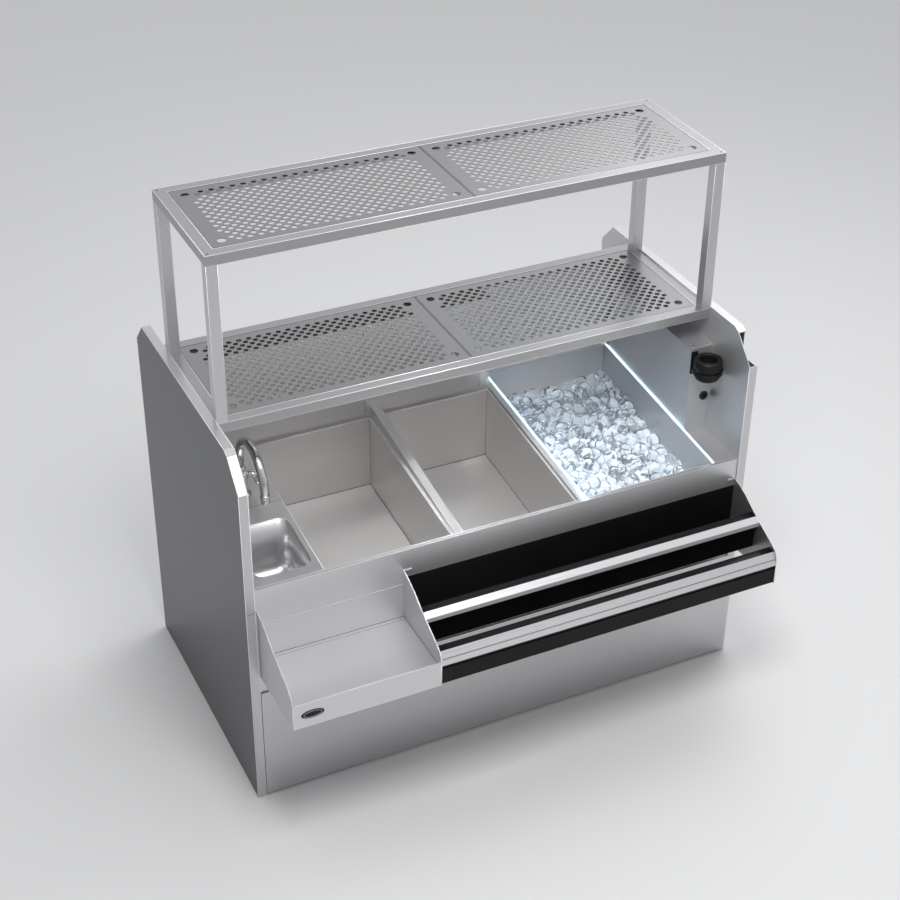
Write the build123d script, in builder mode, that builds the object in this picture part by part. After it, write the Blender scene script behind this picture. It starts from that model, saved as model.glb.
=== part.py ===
"""A free-standing stainless bar station: an insulated ice bin set in a pitched work top
with two open wells, a hand sink, a soda-gun chase, two perforated bottle shelves above,
and a drop shelf with a two-tier bottle rail hooked on its front.

Millimetres, +X along the station's length, +Y from the bartender to the back, +Z up.
The origin is the middle of the bounding box's bottom.
"""
import os
from math import sin

from build123d import *

os.makedirs("parts", exist_ok=True)

# Overall sizes
station_length = 1500.0
cabinet_depth = 815.0
rail_reach = 234.0
work_height = 700.0
panel_height = 1085.0
lower_shelf_height = 1080.0
top_shelf_height = 1547.5

# Sheet metal
sheet = 1.5
overrun = 5.0
part_gap = 0.4
hex_sides = 6

# Side panels
panel_thickness = 25.0
panel_clear = 1.5
shoulder_height = 1000.0
shoulder_reach = 68.0
shoulder_top_drop = 10.0
shoulder_run = 22.0
rear_chamfer_depth = 60.0
rear_chamfer_height = 63.0
skin_recess = 4.0

# Base
base_tube = 40.0
base_wall = 2.0
base_inset = 20.0
base_height = 52.0
foot_pad_radius = 20.0
foot_pad_height = 8.0
foot_stem_radius = 6.0
foot_nut_width = 20.0
foot_nut_height = 8.0
foot_inset = 120.0
back_panel_top = 950.0
kick_gap = 7.0
cover_seam_height = 363.0
cover_side_gap = 1.5
cover_lap = 17.0
cover_return = 14.0

# Front apron
apron_setback = 4.0
apron_lip = 11.0
apron_lip_drop = 10.0

# Pitched work top
splash_setback = 566.0
bin_setback = 629.0
rim_rise = 55.0
deck_edge = 195.0
deck_seam_setback = 314.0
bowl_side_margin = 23.0
bowl_width = 160.0
bowl_front_setback = 45.0
bowl_length = 203.0
bowl_corner = 30.0
bowl_depth = 150.0
drain_bore = 22.0
drain_flange = 34.0
drain_tail = 70.0
drain_lip = 2.0
strainer_depth = 22.0
strainer_hole = 2.6
strainer_outer_ring = 12.5
strainer_outer_count = 8
strainer_inner_ring = 6.0
strainer_inner_count = 4
strainer_knob_radius = 2.8
strainer_knob_height = 11.0

# Wells
well_one_width = 361.5
well_two_width = 338.0
well_depth = 228.0
wall_top_drop = 2.0
strip_drop = 6.0
rim_strip = 9.0
divider_width = 24.0
divider_rise = 28.0
divider_web = 1.5
well_drain_bore = 14.0
well_drain_setback = 195.0
well_drain_tail = 60.0

# Ice bin
bin_rim = 24.0
bin_width = 404.0
bin_depth = 290.0
foam = 24.0
foam_front = 8.0
light_width = 5.0
light_height = 2.5
ice_drop = 78.0
false_bottom_lift = 18.0
false_bottom_gap = 3.0
false_bottom_hole = 7.0
false_bottom_pitch = 40.0
cube_size = 28.0
lump_pitch = 58.0
lump_share = 0.72
lump_wave_share = 0.3
lump_taper = 12.0

# Soda-gun chase and holster
chase_setback = 177.0
chase_height = 980.0
chase_depth = 440.0
cup_radius = 37.0
cup_wall = 3.0
cup_height = 63.0
cup_top = 968.0
cup_flare = 3.0
cup_bore = 25.0
cup_side_gap = 7.0
cup_standoff = 4.0
bracket_width = 20.0
bracket_height = 70.0
bracket_plate = 3.0
bracket_arm = 12.0
grommet_radius = 11.0
grommet_bore = 6.0
grommet_lip = 2.5
grommet_height = 818.0
grommet_side_gap = 4.5
screw_radius = 3.5
screw_head = 2.0
screw_inset = 14.0

# Shelves
shelf_setback = 211.0
shelf_tube = 30.0
shelf_wall = 1.5
shelf_rail_height = 28.0
top_shelf_depth = 406.0
lower_shelf_depth = 436.0
post_wall = 1.5
insert_height = 14.0
insert_seam = 1.0
insert_ledge = 9.0
crossbar_width = 24.0
hole_radius = 7.4
hole_pitch = 28.4
field_side_margin = 35.0
field_end_margin = 26.0
finger_radius = 11.5
finger_inset_x = 35.0
finger_inset_y = 35.0
finger_clear = 10.0

# Faucet
faucet_side = 105.0
faucet_setback = 372.0
faucet_base_radius = 26.0
faucet_base_height = 12.0
faucet_body_radius = 18.0
faucet_body_height = 62.0
spout_radius = 11.5
spout_wall = 2.0
spout_riser = 42.0
arch_radius = 95.0
spout_drop = 2.0
collar_radius = 14.5
collar_length = 16.0
aerator_radius = 13.5
aerator_length = 24.0
spigot_radius = 8.0
spigot_length = 18.0
swivel_gap = 0.05
lever_height = 42.0
lever_hub_radius = 13.0
lever_hub_length = 26.0
lever_stem_radius = 5.0
lever_length = 52.0
lever_tip_round = 2.4
shank_radius = 11.0
shank_length = 45.0
shank_nut_width = 36.0
shank_nut_height = 10.0

# Drop shelf
drop_side_gap = 4.0
drop_width = 411.0
plate_height = 219.0
drop_floor_height = 483.0
drop_back_height = 590.0
drop_lip_height = 502.0
front_low = 425.0
badge_width = 62.0
badge_height = 24.0
badge_thickness = 1.5
badge_side_gap = 21.0

# Speed rail
rail_right_gap = 4.0
upper_floor_height = 478.0
upper_back_height = 612.0
upper_front_reach = 118.0
upper_bar_top = 582.0
lower_floor_height = 430.0
lower_bar_top = 524.0
lower_rear_lip = 15.0
bar_width = 26.0
bar_height = 24.0
strip_overhang = 17.0
strip_fall = 12.0
nose_fall = 35.0
hook_length = 21.0
hook_height = 3.0
hook_reach = 2.5

# Places worked out from the sizes
half_length = station_length / 2
front_y = (rail_reach - cabinet_depth) / 2
back_y = front_y + cabinet_depth
inner_x = half_length - panel_thickness
apron_y = front_y + apron_setback
work_y = apron_y + apron_lip
splash_y = front_y + splash_setback
bin_back_y = front_y + bin_setback
pitch = rim_rise / (splash_y - work_y)
base_top = base_height + base_tube
shoulder_y = front_y + shoulder_reach
deck_x = -inner_x + deck_edge
well_one_x = deck_x + sheet
divider_x = well_one_x + well_one_width + sheet + rim_strip
divider_end_x = divider_x + divider_width
well_two_x = divider_end_x + sheet
well_two_end_x = well_two_x + well_two_width
bin_rim_x = well_two_end_x + sheet + rim_strip
bin_x = bin_rim_x + bin_rim
bin_end_x = bin_x + bin_width
chase_x = bin_end_x + sheet + light_width
chase_y = front_y + chase_setback
chase_back_y = chase_y + chase_depth
shelf_y = front_y + shelf_setback
top_back_y = shelf_y + top_shelf_depth
lower_back_y = shelf_y + lower_shelf_depth
drop_x = -inner_x + drop_side_gap
drop_end_x = drop_x + drop_width
rail_x = drop_end_x
rail_end_x = inner_x - rail_right_gap
nose_y = front_y - rail_reach + badge_thickness


def rim(y):
    """Height of the pitched work top at y."""
    return work_height + pitch * (y - work_y)


def block(low, high, mode=Mode.ADD):
    """A block between two opposite corners, in the piece being built."""
    with Locations(tuple(low)):
        Box(*[end - start for start, end in zip(low, high)], align=(Align.MIN,) * 3, mode=mode)


def outline(points, x):
    """A closed outline of (y, z) points, in the upright plane at x."""
    with BuildSketch(Plane.YZ.offset(x)) as drawn:
        with BuildLine():
            Polyline(*points, close=True)
        make_face()
    return drawn.sketch


def carry(points, start, end, mode=Mode.ADD):
    """An outline of (y, z) points carried along X from start to end, in the piece being built."""
    extrude(outline(points, start), amount=end - start, dir=(1, 0, 0), mode=mode)


def pitched(start_y, end_y, top_drop, bottom_drop):
    """The four corners of a slab that follows the pitched work top, between two drops below it."""
    return [
        (start_y, rim(start_y) - bottom_drop),
        (end_y, rim(end_y) - bottom_drop),
        (end_y, rim(end_y) - top_drop),
        (start_y, rim(start_y) - top_drop),
    ]


# Side panels

panel_points = [
    (front_y, panel_clear),
    (front_y, shoulder_height),
    (shoulder_y, panel_height - shoulder_top_drop),
    (shoulder_y + shoulder_run, panel_height),
    (back_y - rear_chamfer_depth, panel_height),
    (back_y, panel_height - rear_chamfer_height),
    (back_y, panel_clear),
]


def inset_face(x, amount):
    """The side panel's outline at x, drawn in by amount all round."""
    with BuildSketch(Plane.YZ.offset(x)) as drawn:
        with BuildLine():
            Polyline(*panel_points, close=True)
        make_face()
        offset(amount=-amount, kind=Kind.INTERSECTION, mode=Mode.REPLACE)
    return drawn.sketch


with BuildPart() as left_side_panel:
    carry(panel_points, -half_length + sheet, -inner_x)
    extrude(
        inset_face(-half_length, sheet),
        amount=panel_thickness - sheet,
        dir=(1, 0, 0),
        mode=Mode.SUBTRACT,
    )

with BuildPart() as left_outer_skin:
    carry(panel_points, -half_length, -half_length + sheet)



def shoulder_notch():
    """Opens the folded pan at the front shoulder, outside its inner sheet."""
    block(
        (inner_x + sheet, front_y - overrun, shoulder_height),
        (half_length + overrun, shoulder_y, panel_height + overrun),
        Mode.SUBTRACT,
    )


with BuildPart() as right_side_panel:
    carry(panel_points, inner_x, half_length)
    extrude(
        inset_face(inner_x + sheet, sheet),
        amount=panel_thickness + overrun,
        dir=(1, 0, 0),
        mode=Mode.SUBTRACT,
    )
    shoulder_notch()

with BuildPart() as right_outer_skin:
    extrude(inset_face(half_length - skin_recess - sheet, sheet), amount=sheet, dir=(1, 0, 0))
    shoulder_notch()

# Base, feet and cabinet panels

rail_ends_y = (front_y + base_inset, back_y - base_inset)


def base_rail(low, high, axis):
    """A square tube between two corners, open at both ends of the named axis."""
    block(low, high)
    inner_low = [value + (-overrun if n == axis else base_wall) for n, value in enumerate(low)]
    inner_high = [value - (-overrun if n == axis else base_wall) for n, value in enumerate(high)]
    block(inner_low, inner_high, Mode.SUBTRACT)


with BuildPart() as base_front_rail:
    base_rail(
        (-inner_x, rail_ends_y[0], base_height), (inner_x, rail_ends_y[0] + base_tube, base_top), 0
    )

with BuildPart() as base_rear_rail:
    base_rail(
        (-inner_x, rail_ends_y[1] - base_tube, base_height), (inner_x, rail_ends_y[1], base_top), 0
    )

with BuildPart() as base_cross_rails:
    for side_x in (-inner_x + foot_inset, inner_x - foot_inset - base_tube):
        base_rail(
            (side_x, rail_ends_y[0] + base_tube, base_height),
            (side_x + base_tube, rail_ends_y[1] - base_tube, base_top),
            1,
        )

foot_y = (rail_ends_y[0] + base_tube / 2, rail_ends_y[1] - base_tube / 2)
foot_x = inner_x - foot_inset / 2
with BuildPart() as levelling_feet:
    for place in [(x, y) for x in (-foot_x, foot_x) for y in foot_y]:
        with BuildSketch(Plane.XY):
            with Locations(place):
                Circle(foot_pad_radius)
        extrude(amount=foot_pad_height)
        with BuildSketch(Plane.XY.offset(foot_pad_height)):
            with Locations(place):
                Circle(foot_stem_radius)
        extrude(amount=base_height - foot_pad_height)
        with BuildSketch(Plane.XY.offset(base_height - foot_nut_height)):
            with Locations(place):
                RegularPolygon(foot_nut_width / 2, hex_sides)
        extrude(amount=foot_nut_height)

with BuildPart() as bottom_panel:
    block((-inner_x, apron_y + sheet, base_top), (inner_x, back_y - sheet, base_top + sheet))

with BuildPart() as back_panel:
    block((-inner_x, back_y - sheet, base_height), (inner_x, back_y, back_panel_top))
    block(
        (-inner_x, back_y - cover_return, back_panel_top - sheet), (inner_x, back_y, back_panel_top)
    )

cover_x = -inner_x + cover_side_gap
with BuildPart() as lower_front_panel:
    block(
        (cover_x, front_y - sheet, kick_gap), (inner_x + cover_lap, front_y, cover_seam_height)
    )
    block(
        (cover_x, front_y - sheet, cover_seam_height - sheet),
        (inner_x - part_gap, front_y + cover_return, cover_seam_height),
    )
    block(
        (cover_x, front_y - sheet, kick_gap),
        (inner_x - part_gap, front_y + cover_return, kick_gap + sheet),
    )

with BuildPart() as front_apron:
    block((-inner_x, apron_y, cover_seam_height), (inner_x, apron_y + sheet, work_height))
    block((-inner_x, apron_y, work_height - sheet), (inner_x, work_y, work_height))
    block((-inner_x, work_y - sheet, work_height - apron_lip_drop), (inner_x, work_y, work_height))

# Hand sink

bowl_x = -inner_x + bowl_side_margin
bowl_y = front_y + bowl_front_setback
bowl_centre = (bowl_x + bowl_width / 2, bowl_y + bowl_length / 2)
seam_y = front_y + deck_seam_setback
bowl_floor = rim(bowl_y) - bowl_depth


def rounded(centre, width, length, corner, z):
    """A rounded rectangle at height z."""
    with BuildSketch(Plane.XY.offset(z)) as drawn:
        with Locations(centre):
            RectangleRounded(width, length, corner)
    return drawn.sketch


above_bowl = rim(splash_y) - bowl_floor
bowl_space = rounded(bowl_centre, bowl_width, bowl_length, bowl_corner, bowl_floor)
with BuildPart() as sink_deck:
    carry(pitched(work_y, seam_y, 0, sheet), -inner_x, deck_x)
    extrude(bowl_space, amount=above_bowl, mode=Mode.SUBTRACT)

with BuildPart() as sink_bowl:
    extrude(
        rounded(
            bowl_centre,
            bowl_width + 2 * sheet,
            bowl_length + 2 * sheet,
            bowl_corner + sheet,
            bowl_floor - sheet,
        ),
        amount=above_bowl,
    )
    extrude(bowl_space, amount=above_bowl, mode=Mode.SUBTRACT)
    carry(
        [
            (bowl_y - overrun, rim(bowl_y - overrun) - sheet),
            (seam_y, rim(seam_y) - sheet),
            (seam_y, rim(splash_y) + overrun),
            (bowl_y - overrun, rim(splash_y) + overrun),
        ],
        -inner_x,
        deck_x,
        Mode.SUBTRACT,
    )
    with BuildSketch(Plane.XY.offset(bowl_floor - sheet)):
        with Locations(bowl_centre):
            Circle(drain_bore)
    extrude(amount=2 * sheet, mode=Mode.SUBTRACT)


def ring(centre, z, outer, inner, height):
    """A plain ring standing at height z, in the piece being built."""
    with BuildSketch(Plane.XY.offset(z)) as drawn:
        with Locations(centre):
            Circle(outer)
            Circle(inner, mode=Mode.SUBTRACT)
    extrude(drawn.sketch, amount=height)


drain_inner = drain_bore - sheet
with BuildPart() as sink_drain:
    ring(bowl_centre, bowl_floor, drain_flange, drain_inner, drain_lip)
    ring(bowl_centre, bowl_floor - drain_tail, drain_bore, drain_inner, drain_tail)
    ring(bowl_centre, bowl_floor - sheet - drain_lip - sheet, drain_flange, drain_bore, drain_lip + sheet)

strainer_radius = drain_inner - part_gap
with BuildPart() as sink_strainer:
    with BuildSketch(Plane.XY.offset(bowl_floor + drain_lip)):
        with Locations(bowl_centre):
            Circle(drain_bore + drain_lip)
            with PolarLocations(strainer_outer_ring, strainer_outer_count):
                Circle(strainer_hole, mode=Mode.SUBTRACT)
            with PolarLocations(strainer_inner_ring, strainer_inner_count):
                Circle(strainer_hole, mode=Mode.SUBTRACT)
    extrude(amount=sheet)
    ring(
        bowl_centre,
        bowl_floor - strainer_depth,
        strainer_radius,
        strainer_radius - sheet,
        strainer_depth + drain_lip,
    )
    with BuildSketch(Plane.XY.offset(bowl_floor + drain_lip + sheet)):
        with Locations(bowl_centre):
            Circle(strainer_knob_radius)
    extrude(amount=strainer_knob_height)

faucet_x = -inner_x + faucet_side
faucet_y = front_y + faucet_setback
with BuildPart() as faucet_deck:
    carry(pitched(seam_y, splash_y, 0, sheet), -inner_x, deck_x)
    with BuildSketch(Plane.XY.offset(work_height)):
        with Locations((faucet_x, faucet_y)):
            Circle(shank_radius)
    extrude(amount=2 * rim_rise, mode=Mode.SUBTRACT)

# Faucet

faucet_low = rim(faucet_y + faucet_base_radius)
body_top = faucet_low + faucet_base_height + faucet_body_height
spout_foot = body_top + swivel_gap
arch_z = spout_foot + spout_riser
nozzle_y = faucet_y - 2 * arch_radius
nozzle_z = arch_z - spout_drop


def disc(place, z, radius, height, mode=Mode.ADD):
    """An upright cylinder from height z, in the piece being built."""
    with BuildSketch(Plane.XY.offset(z)) as drawn:
        with Locations(place):
            Circle(radius)
    extrude(drawn.sketch, amount=height, mode=mode)


faucet_place = (faucet_x, faucet_y)
faucet_front_low = rim(faucet_y - faucet_base_radius)
hub_z = faucet_low + faucet_base_height + lever_height
with BuildPart() as faucet_body:
    disc(
        faucet_place,
        faucet_front_low,
        faucet_base_radius,
        faucet_low - faucet_front_low + faucet_base_height,
    )
    disc(faucet_place, faucet_low, faucet_body_radius, faucet_base_height + faucet_body_height)
    carry(
        pitched(faucet_y - 2 * faucet_base_radius, faucet_y + 2 * faucet_base_radius, 0, rim_rise),
        faucet_x - 2 * faucet_base_radius,
        faucet_x + 2 * faucet_base_radius,
        Mode.SUBTRACT,
    )
    disc(
        faucet_place,
        faucet_low - shank_length,
        shank_radius - part_gap,
        shank_length + faucet_base_height,
    )
    disc(
        faucet_place,
        body_top - spigot_length,
        spigot_radius + swivel_gap,
        spigot_length + overrun,
        Mode.SUBTRACT,
    )

with BuildPart() as faucet_nut:
    with BuildSketch(Plane.XY.offset(faucet_front_low - sheet - shank_nut_height)):
        with Locations(faucet_place):
            RegularPolygon(shank_nut_width / 2, hex_sides)
            Circle(shank_radius - part_gap, mode=Mode.SUBTRACT)
    extrude(amount=shank_nut_height)

with BuildPart() as faucet_spout:
    with BuildLine() as spout_path:
        Line((faucet_x, faucet_y, spout_foot), (faucet_x, faucet_y, arch_z))
        ThreePointArc(
            (faucet_x, faucet_y, arch_z),
            (faucet_x, faucet_y - arch_radius, arch_z + arch_radius),
            (faucet_x, nozzle_y, arch_z),
        )
        Line((faucet_x, nozzle_y, arch_z), (faucet_x, nozzle_y, nozzle_z))
    with BuildSketch(Plane.XY.offset(spout_foot)):
        with Locations(faucet_place):
            Circle(spout_radius)
            Circle(spout_radius - spout_wall, mode=Mode.SUBTRACT)
    sweep(path=spout_path.line)
    ring(faucet_place, spout_foot, collar_radius, spout_radius, collar_length)
    ring(faucet_place, spout_foot - spigot_length, spigot_radius, spigot_radius - spout_wall, spigot_length)
    ring(faucet_place, spout_foot, spout_radius, spigot_radius - spout_wall, spout_wall)

with BuildPart() as faucet_aerator:
    nozzle_place = (faucet_x, nozzle_y)
    spout_bore = spout_radius - spout_wall
    ring(nozzle_place, nozzle_z - aerator_length, aerator_radius, spout_bore, aerator_length)
    ring(nozzle_place, nozzle_z, aerator_radius, spout_radius, spout_drop)

hub_start = faucet_body_radius + part_gap
with BuildPart() as faucet_lever:
    with BuildSketch(Plane.YZ.offset(faucet_x + hub_start)):
        with Locations((faucet_y, hub_z)):
            Circle(lever_hub_radius)
    extrude(amount=lever_hub_length)
    with BuildSketch(Plane.XZ.offset(-faucet_y)):
        with Locations((faucet_x + hub_start + lever_hub_length / 2, hub_z)):
            Circle(lever_stem_radius)
    extrude(amount=lever_length)
    fillet(edges().filter_by(GeomType.CIRCLE).sort_by(Axis.Y)[0], radius=lever_tip_round)

# Wells


def well(start_x, end_x, strip_low_x, strip_high_x):
    """An open well whose floor and rim follow the pitched top, with a rim strip round it."""
    rear_y = splash_y - rim_strip
    carry(pitched(work_y, rear_y, wall_top_drop, well_depth + sheet), start_x - sheet, end_x + sheet)
    carry(pitched(work_y, splash_y, strip_drop, strip_drop + sheet), strip_low_x, strip_high_x)
    carry(pitched(work_y + sheet, rear_y - sheet, -overrun, well_depth), start_x, end_x, Mode.SUBTRACT)


def well_drain_place(start_x, end_x):
    """Plan position of a well's drain, halfway across it and nearer its front wall."""
    return ((start_x + end_x) / 2, work_y + well_drain_setback)


def drain_hole(centre, depth, radius):
    """A round hole through a pitched floor that lies at this depth."""
    disc(centre, rim(centre[1]) - depth - overrun, radius, 2 * overrun, Mode.SUBTRACT)


well_one_end_x = well_one_x + well_one_width
divider_mid_x = (divider_x + divider_end_x) / 2
well_one_drain = well_drain_place(well_one_x, well_one_end_x)
well_two_drain = well_drain_place(well_two_x, well_two_end_x)

with BuildPart() as well_left:
    well(well_one_x, well_one_end_x, well_one_x - sheet, divider_mid_x)
    drain_hole(well_one_drain, well_depth, well_drain_bore)

with BuildPart() as well_right:
    well(well_two_x, well_two_end_x, divider_mid_x, bin_rim_x)
    drain_hole(well_two_drain, well_depth, well_drain_bore)

well_drain_flange = well_drain_bore + sheet + drain_lip
with BuildPart() as well_drains:
    for centre in (well_one_drain, well_two_drain):
        floor_z = rim(centre[1]) - well_depth
        drop = pitch * well_drain_flange
        ring(
            centre,
            floor_z - well_drain_tail,
            well_drain_bore,
            well_drain_bore - sheet,
            well_drain_tail - sheet - drop,
        )
        ring(centre, floor_z - 2 * sheet - drop, well_drain_flange, well_drain_bore - sheet, sheet)

with BuildPart() as divider_bar:
    carry(
        [
            (work_y, rim(work_y) - strip_drop),
            (splash_y, rim(splash_y) - strip_drop),
            (splash_y, rim(splash_y) + divider_rise),
            (work_y, rim(work_y)),
        ],
        divider_x,
        divider_end_x,
    )
    carry(
        [
            (work_y + sheet, rim(work_y) - strip_drop - overrun),
            (splash_y - sheet, rim(splash_y) - strip_drop - overrun),
            (splash_y - sheet, rim(splash_y) + divider_rise - divider_web),
            (work_y + sheet, rim(work_y) - divider_web),
        ],
        divider_x + divider_web,
        divider_end_x - divider_web,
        Mode.SUBTRACT,
    )

# Ice bin

bin_front_y = work_y
bin_centre = ((bin_x + bin_end_x) / 2, (bin_front_y + bin_back_y) / 2)
with BuildPart() as bin_liner:
    carry(pitched(bin_front_y, bin_back_y, 0, bin_depth + sheet), bin_x - sheet, bin_end_x + sheet)
    carry(pitched(bin_front_y, bin_back_y, 0, sheet), bin_rim_x, bin_x)
    carry(pitched(bin_front_y, bin_back_y, 0, sheet), bin_end_x, chase_x)
    carry(
        pitched(bin_front_y + sheet, bin_back_y - sheet, -overrun, bin_depth),
        bin_x,
        bin_end_x,
        Mode.SUBTRACT,
    )
    drain_hole(bin_centre, bin_depth, drain_bore)

foam_front_y = bin_front_y - foam_front
foam_rear_y = bin_back_y + foam
foam_low = bin_depth + sheet + foam
foam_top = work_height - apron_lip_drop - part_gap
with BuildPart() as bin_insulation:
    carry(
        [
            (foam_front_y, rim(foam_front_y) - foam_low),
            (foam_rear_y, rim(foam_rear_y) - foam_low),
            (foam_rear_y, foam_top),
            (foam_front_y, foam_top),
        ],
        bin_x - sheet - foam,
        bin_end_x + sheet + foam,
    )
    carry(
        pitched(bin_front_y, bin_back_y, -overrun, bin_depth + sheet),
        bin_x - sheet,
        bin_end_x + sheet,
        Mode.SUBTRACT,
    )
    disc(bin_centre, rim(bin_centre[1]) - bin_depth - 2 * foam, drain_bore, 2 * foam, Mode.SUBTRACT)

with BuildPart() as bin_drain:
    bin_floor = rim(bin_centre[1]) - bin_depth - sheet
    bin_drop = pitch * (drain_bore + drain_lip)
    bin_tail = drain_tail + foam
    ring(bin_centre, bin_floor - bin_tail, drain_bore - part_gap, drain_inner, bin_tail - bin_drop)

with BuildPart() as false_bottom:
    carry(
        pitched(
            bin_front_y + sheet + false_bottom_gap,
            bin_back_y - sheet - false_bottom_gap,
            bin_depth - false_bottom_lift,
            bin_depth,
        ),
        bin_x + false_bottom_gap,
        bin_end_x - false_bottom_gap,
    )
    carry(
        pitched(
            bin_front_y + 2 * sheet + false_bottom_gap,
            bin_back_y - 2 * sheet - false_bottom_gap,
            bin_depth - false_bottom_lift + sheet,
            bin_depth + overrun,
        ),
        bin_x + false_bottom_gap + sheet,
        bin_end_x - false_bottom_gap - sheet,
        Mode.SUBTRACT,
    )
    hole_columns = int((bin_width - 2 * false_bottom_pitch) / false_bottom_pitch)
    hole_rows = int((bin_back_y - bin_front_y - 2 * false_bottom_pitch) / false_bottom_pitch)
    with BuildSketch(Plane.XY.offset(rim(bin_front_y) - bin_depth)):
        with Locations(bin_centre):
            with GridLocations(false_bottom_pitch, false_bottom_pitch, hole_columns, hole_rows):
                Circle(false_bottom_hole)
    extrude(amount=bin_depth / 2, mode=Mode.SUBTRACT)


def light_strip(start_x):
    """A slim light bar lying on the bin's pitched rim from start_x."""
    carry(pitched(bin_front_y, bin_back_y, -light_height, 0), start_x, start_x + light_width)


with BuildPart() as rim_light_left:
    light_strip(bin_x - sheet - light_width)

with BuildPart() as rim_light_right:
    light_strip(bin_end_x + sheet)

with BuildPart() as ice:
    carry(
        pitched(
            bin_front_y + sheet + part_gap,
            bin_back_y - sheet - part_gap,
            ice_drop + cube_size / 2,
            bin_depth - false_bottom_lift,
        ),
        bin_x + part_gap,
        bin_end_x - part_gap,
    )
    lump_columns = int((bin_width - cube_size) / lump_pitch)
    lump_rows = int((bin_back_y - bin_front_y - cube_size) / lump_pitch)
    lump_side = lump_pitch * lump_share
    for row in range(lump_rows):
        lump_y = bin_centre[1] + (row - (lump_rows - 1) / 2) * lump_pitch
        lump_z = rim(lump_y - lump_side / 2) - ice_drop - cube_size / 2 - part_gap
        with BuildSketch(Plane.XY.offset(lump_z)):
            with Locations((bin_centre[0], lump_y)):
                with GridLocations(lump_pitch, lump_pitch, lump_columns, 1):
                    Rectangle(lump_side, lump_side)
        extrude(amount=cube_size / 2 * (1 + lump_wave_share * sin(row)), taper=lump_taper)

# Right deck, soda-gun chase and holster

with BuildPart() as right_deck:
    block((chase_x, work_y, work_height - sheet), (inner_x, chase_back_y, work_height))
    block((chase_x, work_y, work_height - apron_lip_drop), (chase_x + sheet, chase_back_y, work_height))

grommet_place = (inner_x - grommet_side_gap - grommet_radius - grommet_lip, grommet_height)
with BuildPart() as chase_cover:
    block((chase_x, chase_y, work_height), (inner_x, chase_back_y, chase_height))
    block(
        (chase_x + sheet, chase_y + sheet, work_height - overrun),
        (inner_x - sheet, chase_back_y + overrun, chase_height - sheet),
        Mode.SUBTRACT,
    )
    with BuildSketch(Plane.XZ.offset(-chase_y + overrun)):
        with Locations(grommet_place):
            Circle(grommet_radius)
    extrude(amount=-2 * overrun, mode=Mode.SUBTRACT)

with BuildPart() as hose_grommet:
    with BuildSketch(Plane.XZ.offset(-chase_y)):
        with Locations(grommet_place):
            Circle(grommet_radius + grommet_lip)
            Circle(grommet_bore, mode=Mode.SUBTRACT)
    extrude(amount=grommet_lip)
    with BuildSketch(Plane.XZ.offset(-chase_y)):
        with Locations(grommet_place):
            Circle(grommet_radius)
            Circle(grommet_bore, mode=Mode.SUBTRACT)
    extrude(amount=-sheet - grommet_lip)

cup_place = (inner_x - cup_side_gap - cup_radius, chase_y - bracket_plate - cup_standoff - cup_radius)
bracket_top = cup_top + overrun
with BuildPart() as holster_bracket:
    block(
        (chase_x, chase_y - bracket_plate, bracket_top - bracket_height),
        (chase_x + bracket_width, chase_y, bracket_top),
    )
    block(
        (chase_x + bracket_width, chase_y - bracket_plate, cup_top - bracket_arm - cup_height / 2),
        (inner_x - cup_side_gap, chase_y, cup_top - cup_height / 2),
    )
    ring(
        cup_place,
        cup_top - bracket_arm - cup_height / 2,
        cup_radius + cup_standoff + bracket_plate / 2,
        cup_radius + part_gap,
        bracket_arm,
    )

with BuildPart() as holster_cup:
    disc(cup_place, cup_top - cup_height, cup_radius, cup_height)
    disc(cup_place, cup_top - cup_height / 2, cup_radius + cup_flare, cup_height / 2)
    disc(
        cup_place,
        cup_top - cup_height + cup_wall,
        cup_radius - cup_wall,
        cup_height - 3 * cup_wall,
        Mode.SUBTRACT,
    )
    disc(cup_place, cup_top - cup_height / 2, cup_bore, cup_height, Mode.SUBTRACT)

with BuildPart() as chase_screws:
    for screw_z in (bracket_top - bracket_height / 4, bracket_top - 3 * bracket_height / 4):
        with BuildSketch(Plane.XZ.offset(-chase_y + bracket_plate)):
            with Locations((chase_x + bracket_width / 2, screw_z)):
                Circle(screw_radius)
        extrude(amount=screw_head)
    for screw_x in (chase_x + screw_inset, inner_x - screw_inset):
        disc((screw_x, chase_y + screw_inset), chase_height, screw_radius, screw_head)

# Backsplash

splash_top = lower_shelf_height - shelf_rail_height
with BuildPart() as backsplash:
    carry(
        [
            (splash_y, rim(splash_y) - strip_drop - cover_return),
            (splash_y + sheet, rim(splash_y) - strip_drop - cover_return),
            (splash_y + sheet, splash_top),
            (splash_y, splash_top),
        ],
        -inner_x,
        bin_rim_x,
    )
    block(
        (bin_rim_x - sheet, splash_y, rim(splash_y) - strip_drop - cover_return),
        (bin_rim_x, bin_back_y + sheet, splash_top),
    )
    block(
        (bin_rim_x - sheet, bin_back_y, rim(bin_back_y) - strip_drop),
        (inner_x, bin_back_y + sheet, splash_top),
    )

with BuildPart() as splash_hems:
    for seam_x in (divider_x - rim_strip, bin_rim_x - rim_strip):
        block(
            (seam_x - sheet, splash_y - sheet / 2, rim(splash_y) + sheet), (seam_x, splash_y, splash_top)
        )

# Shelf frames, posts and perforated inserts


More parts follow.
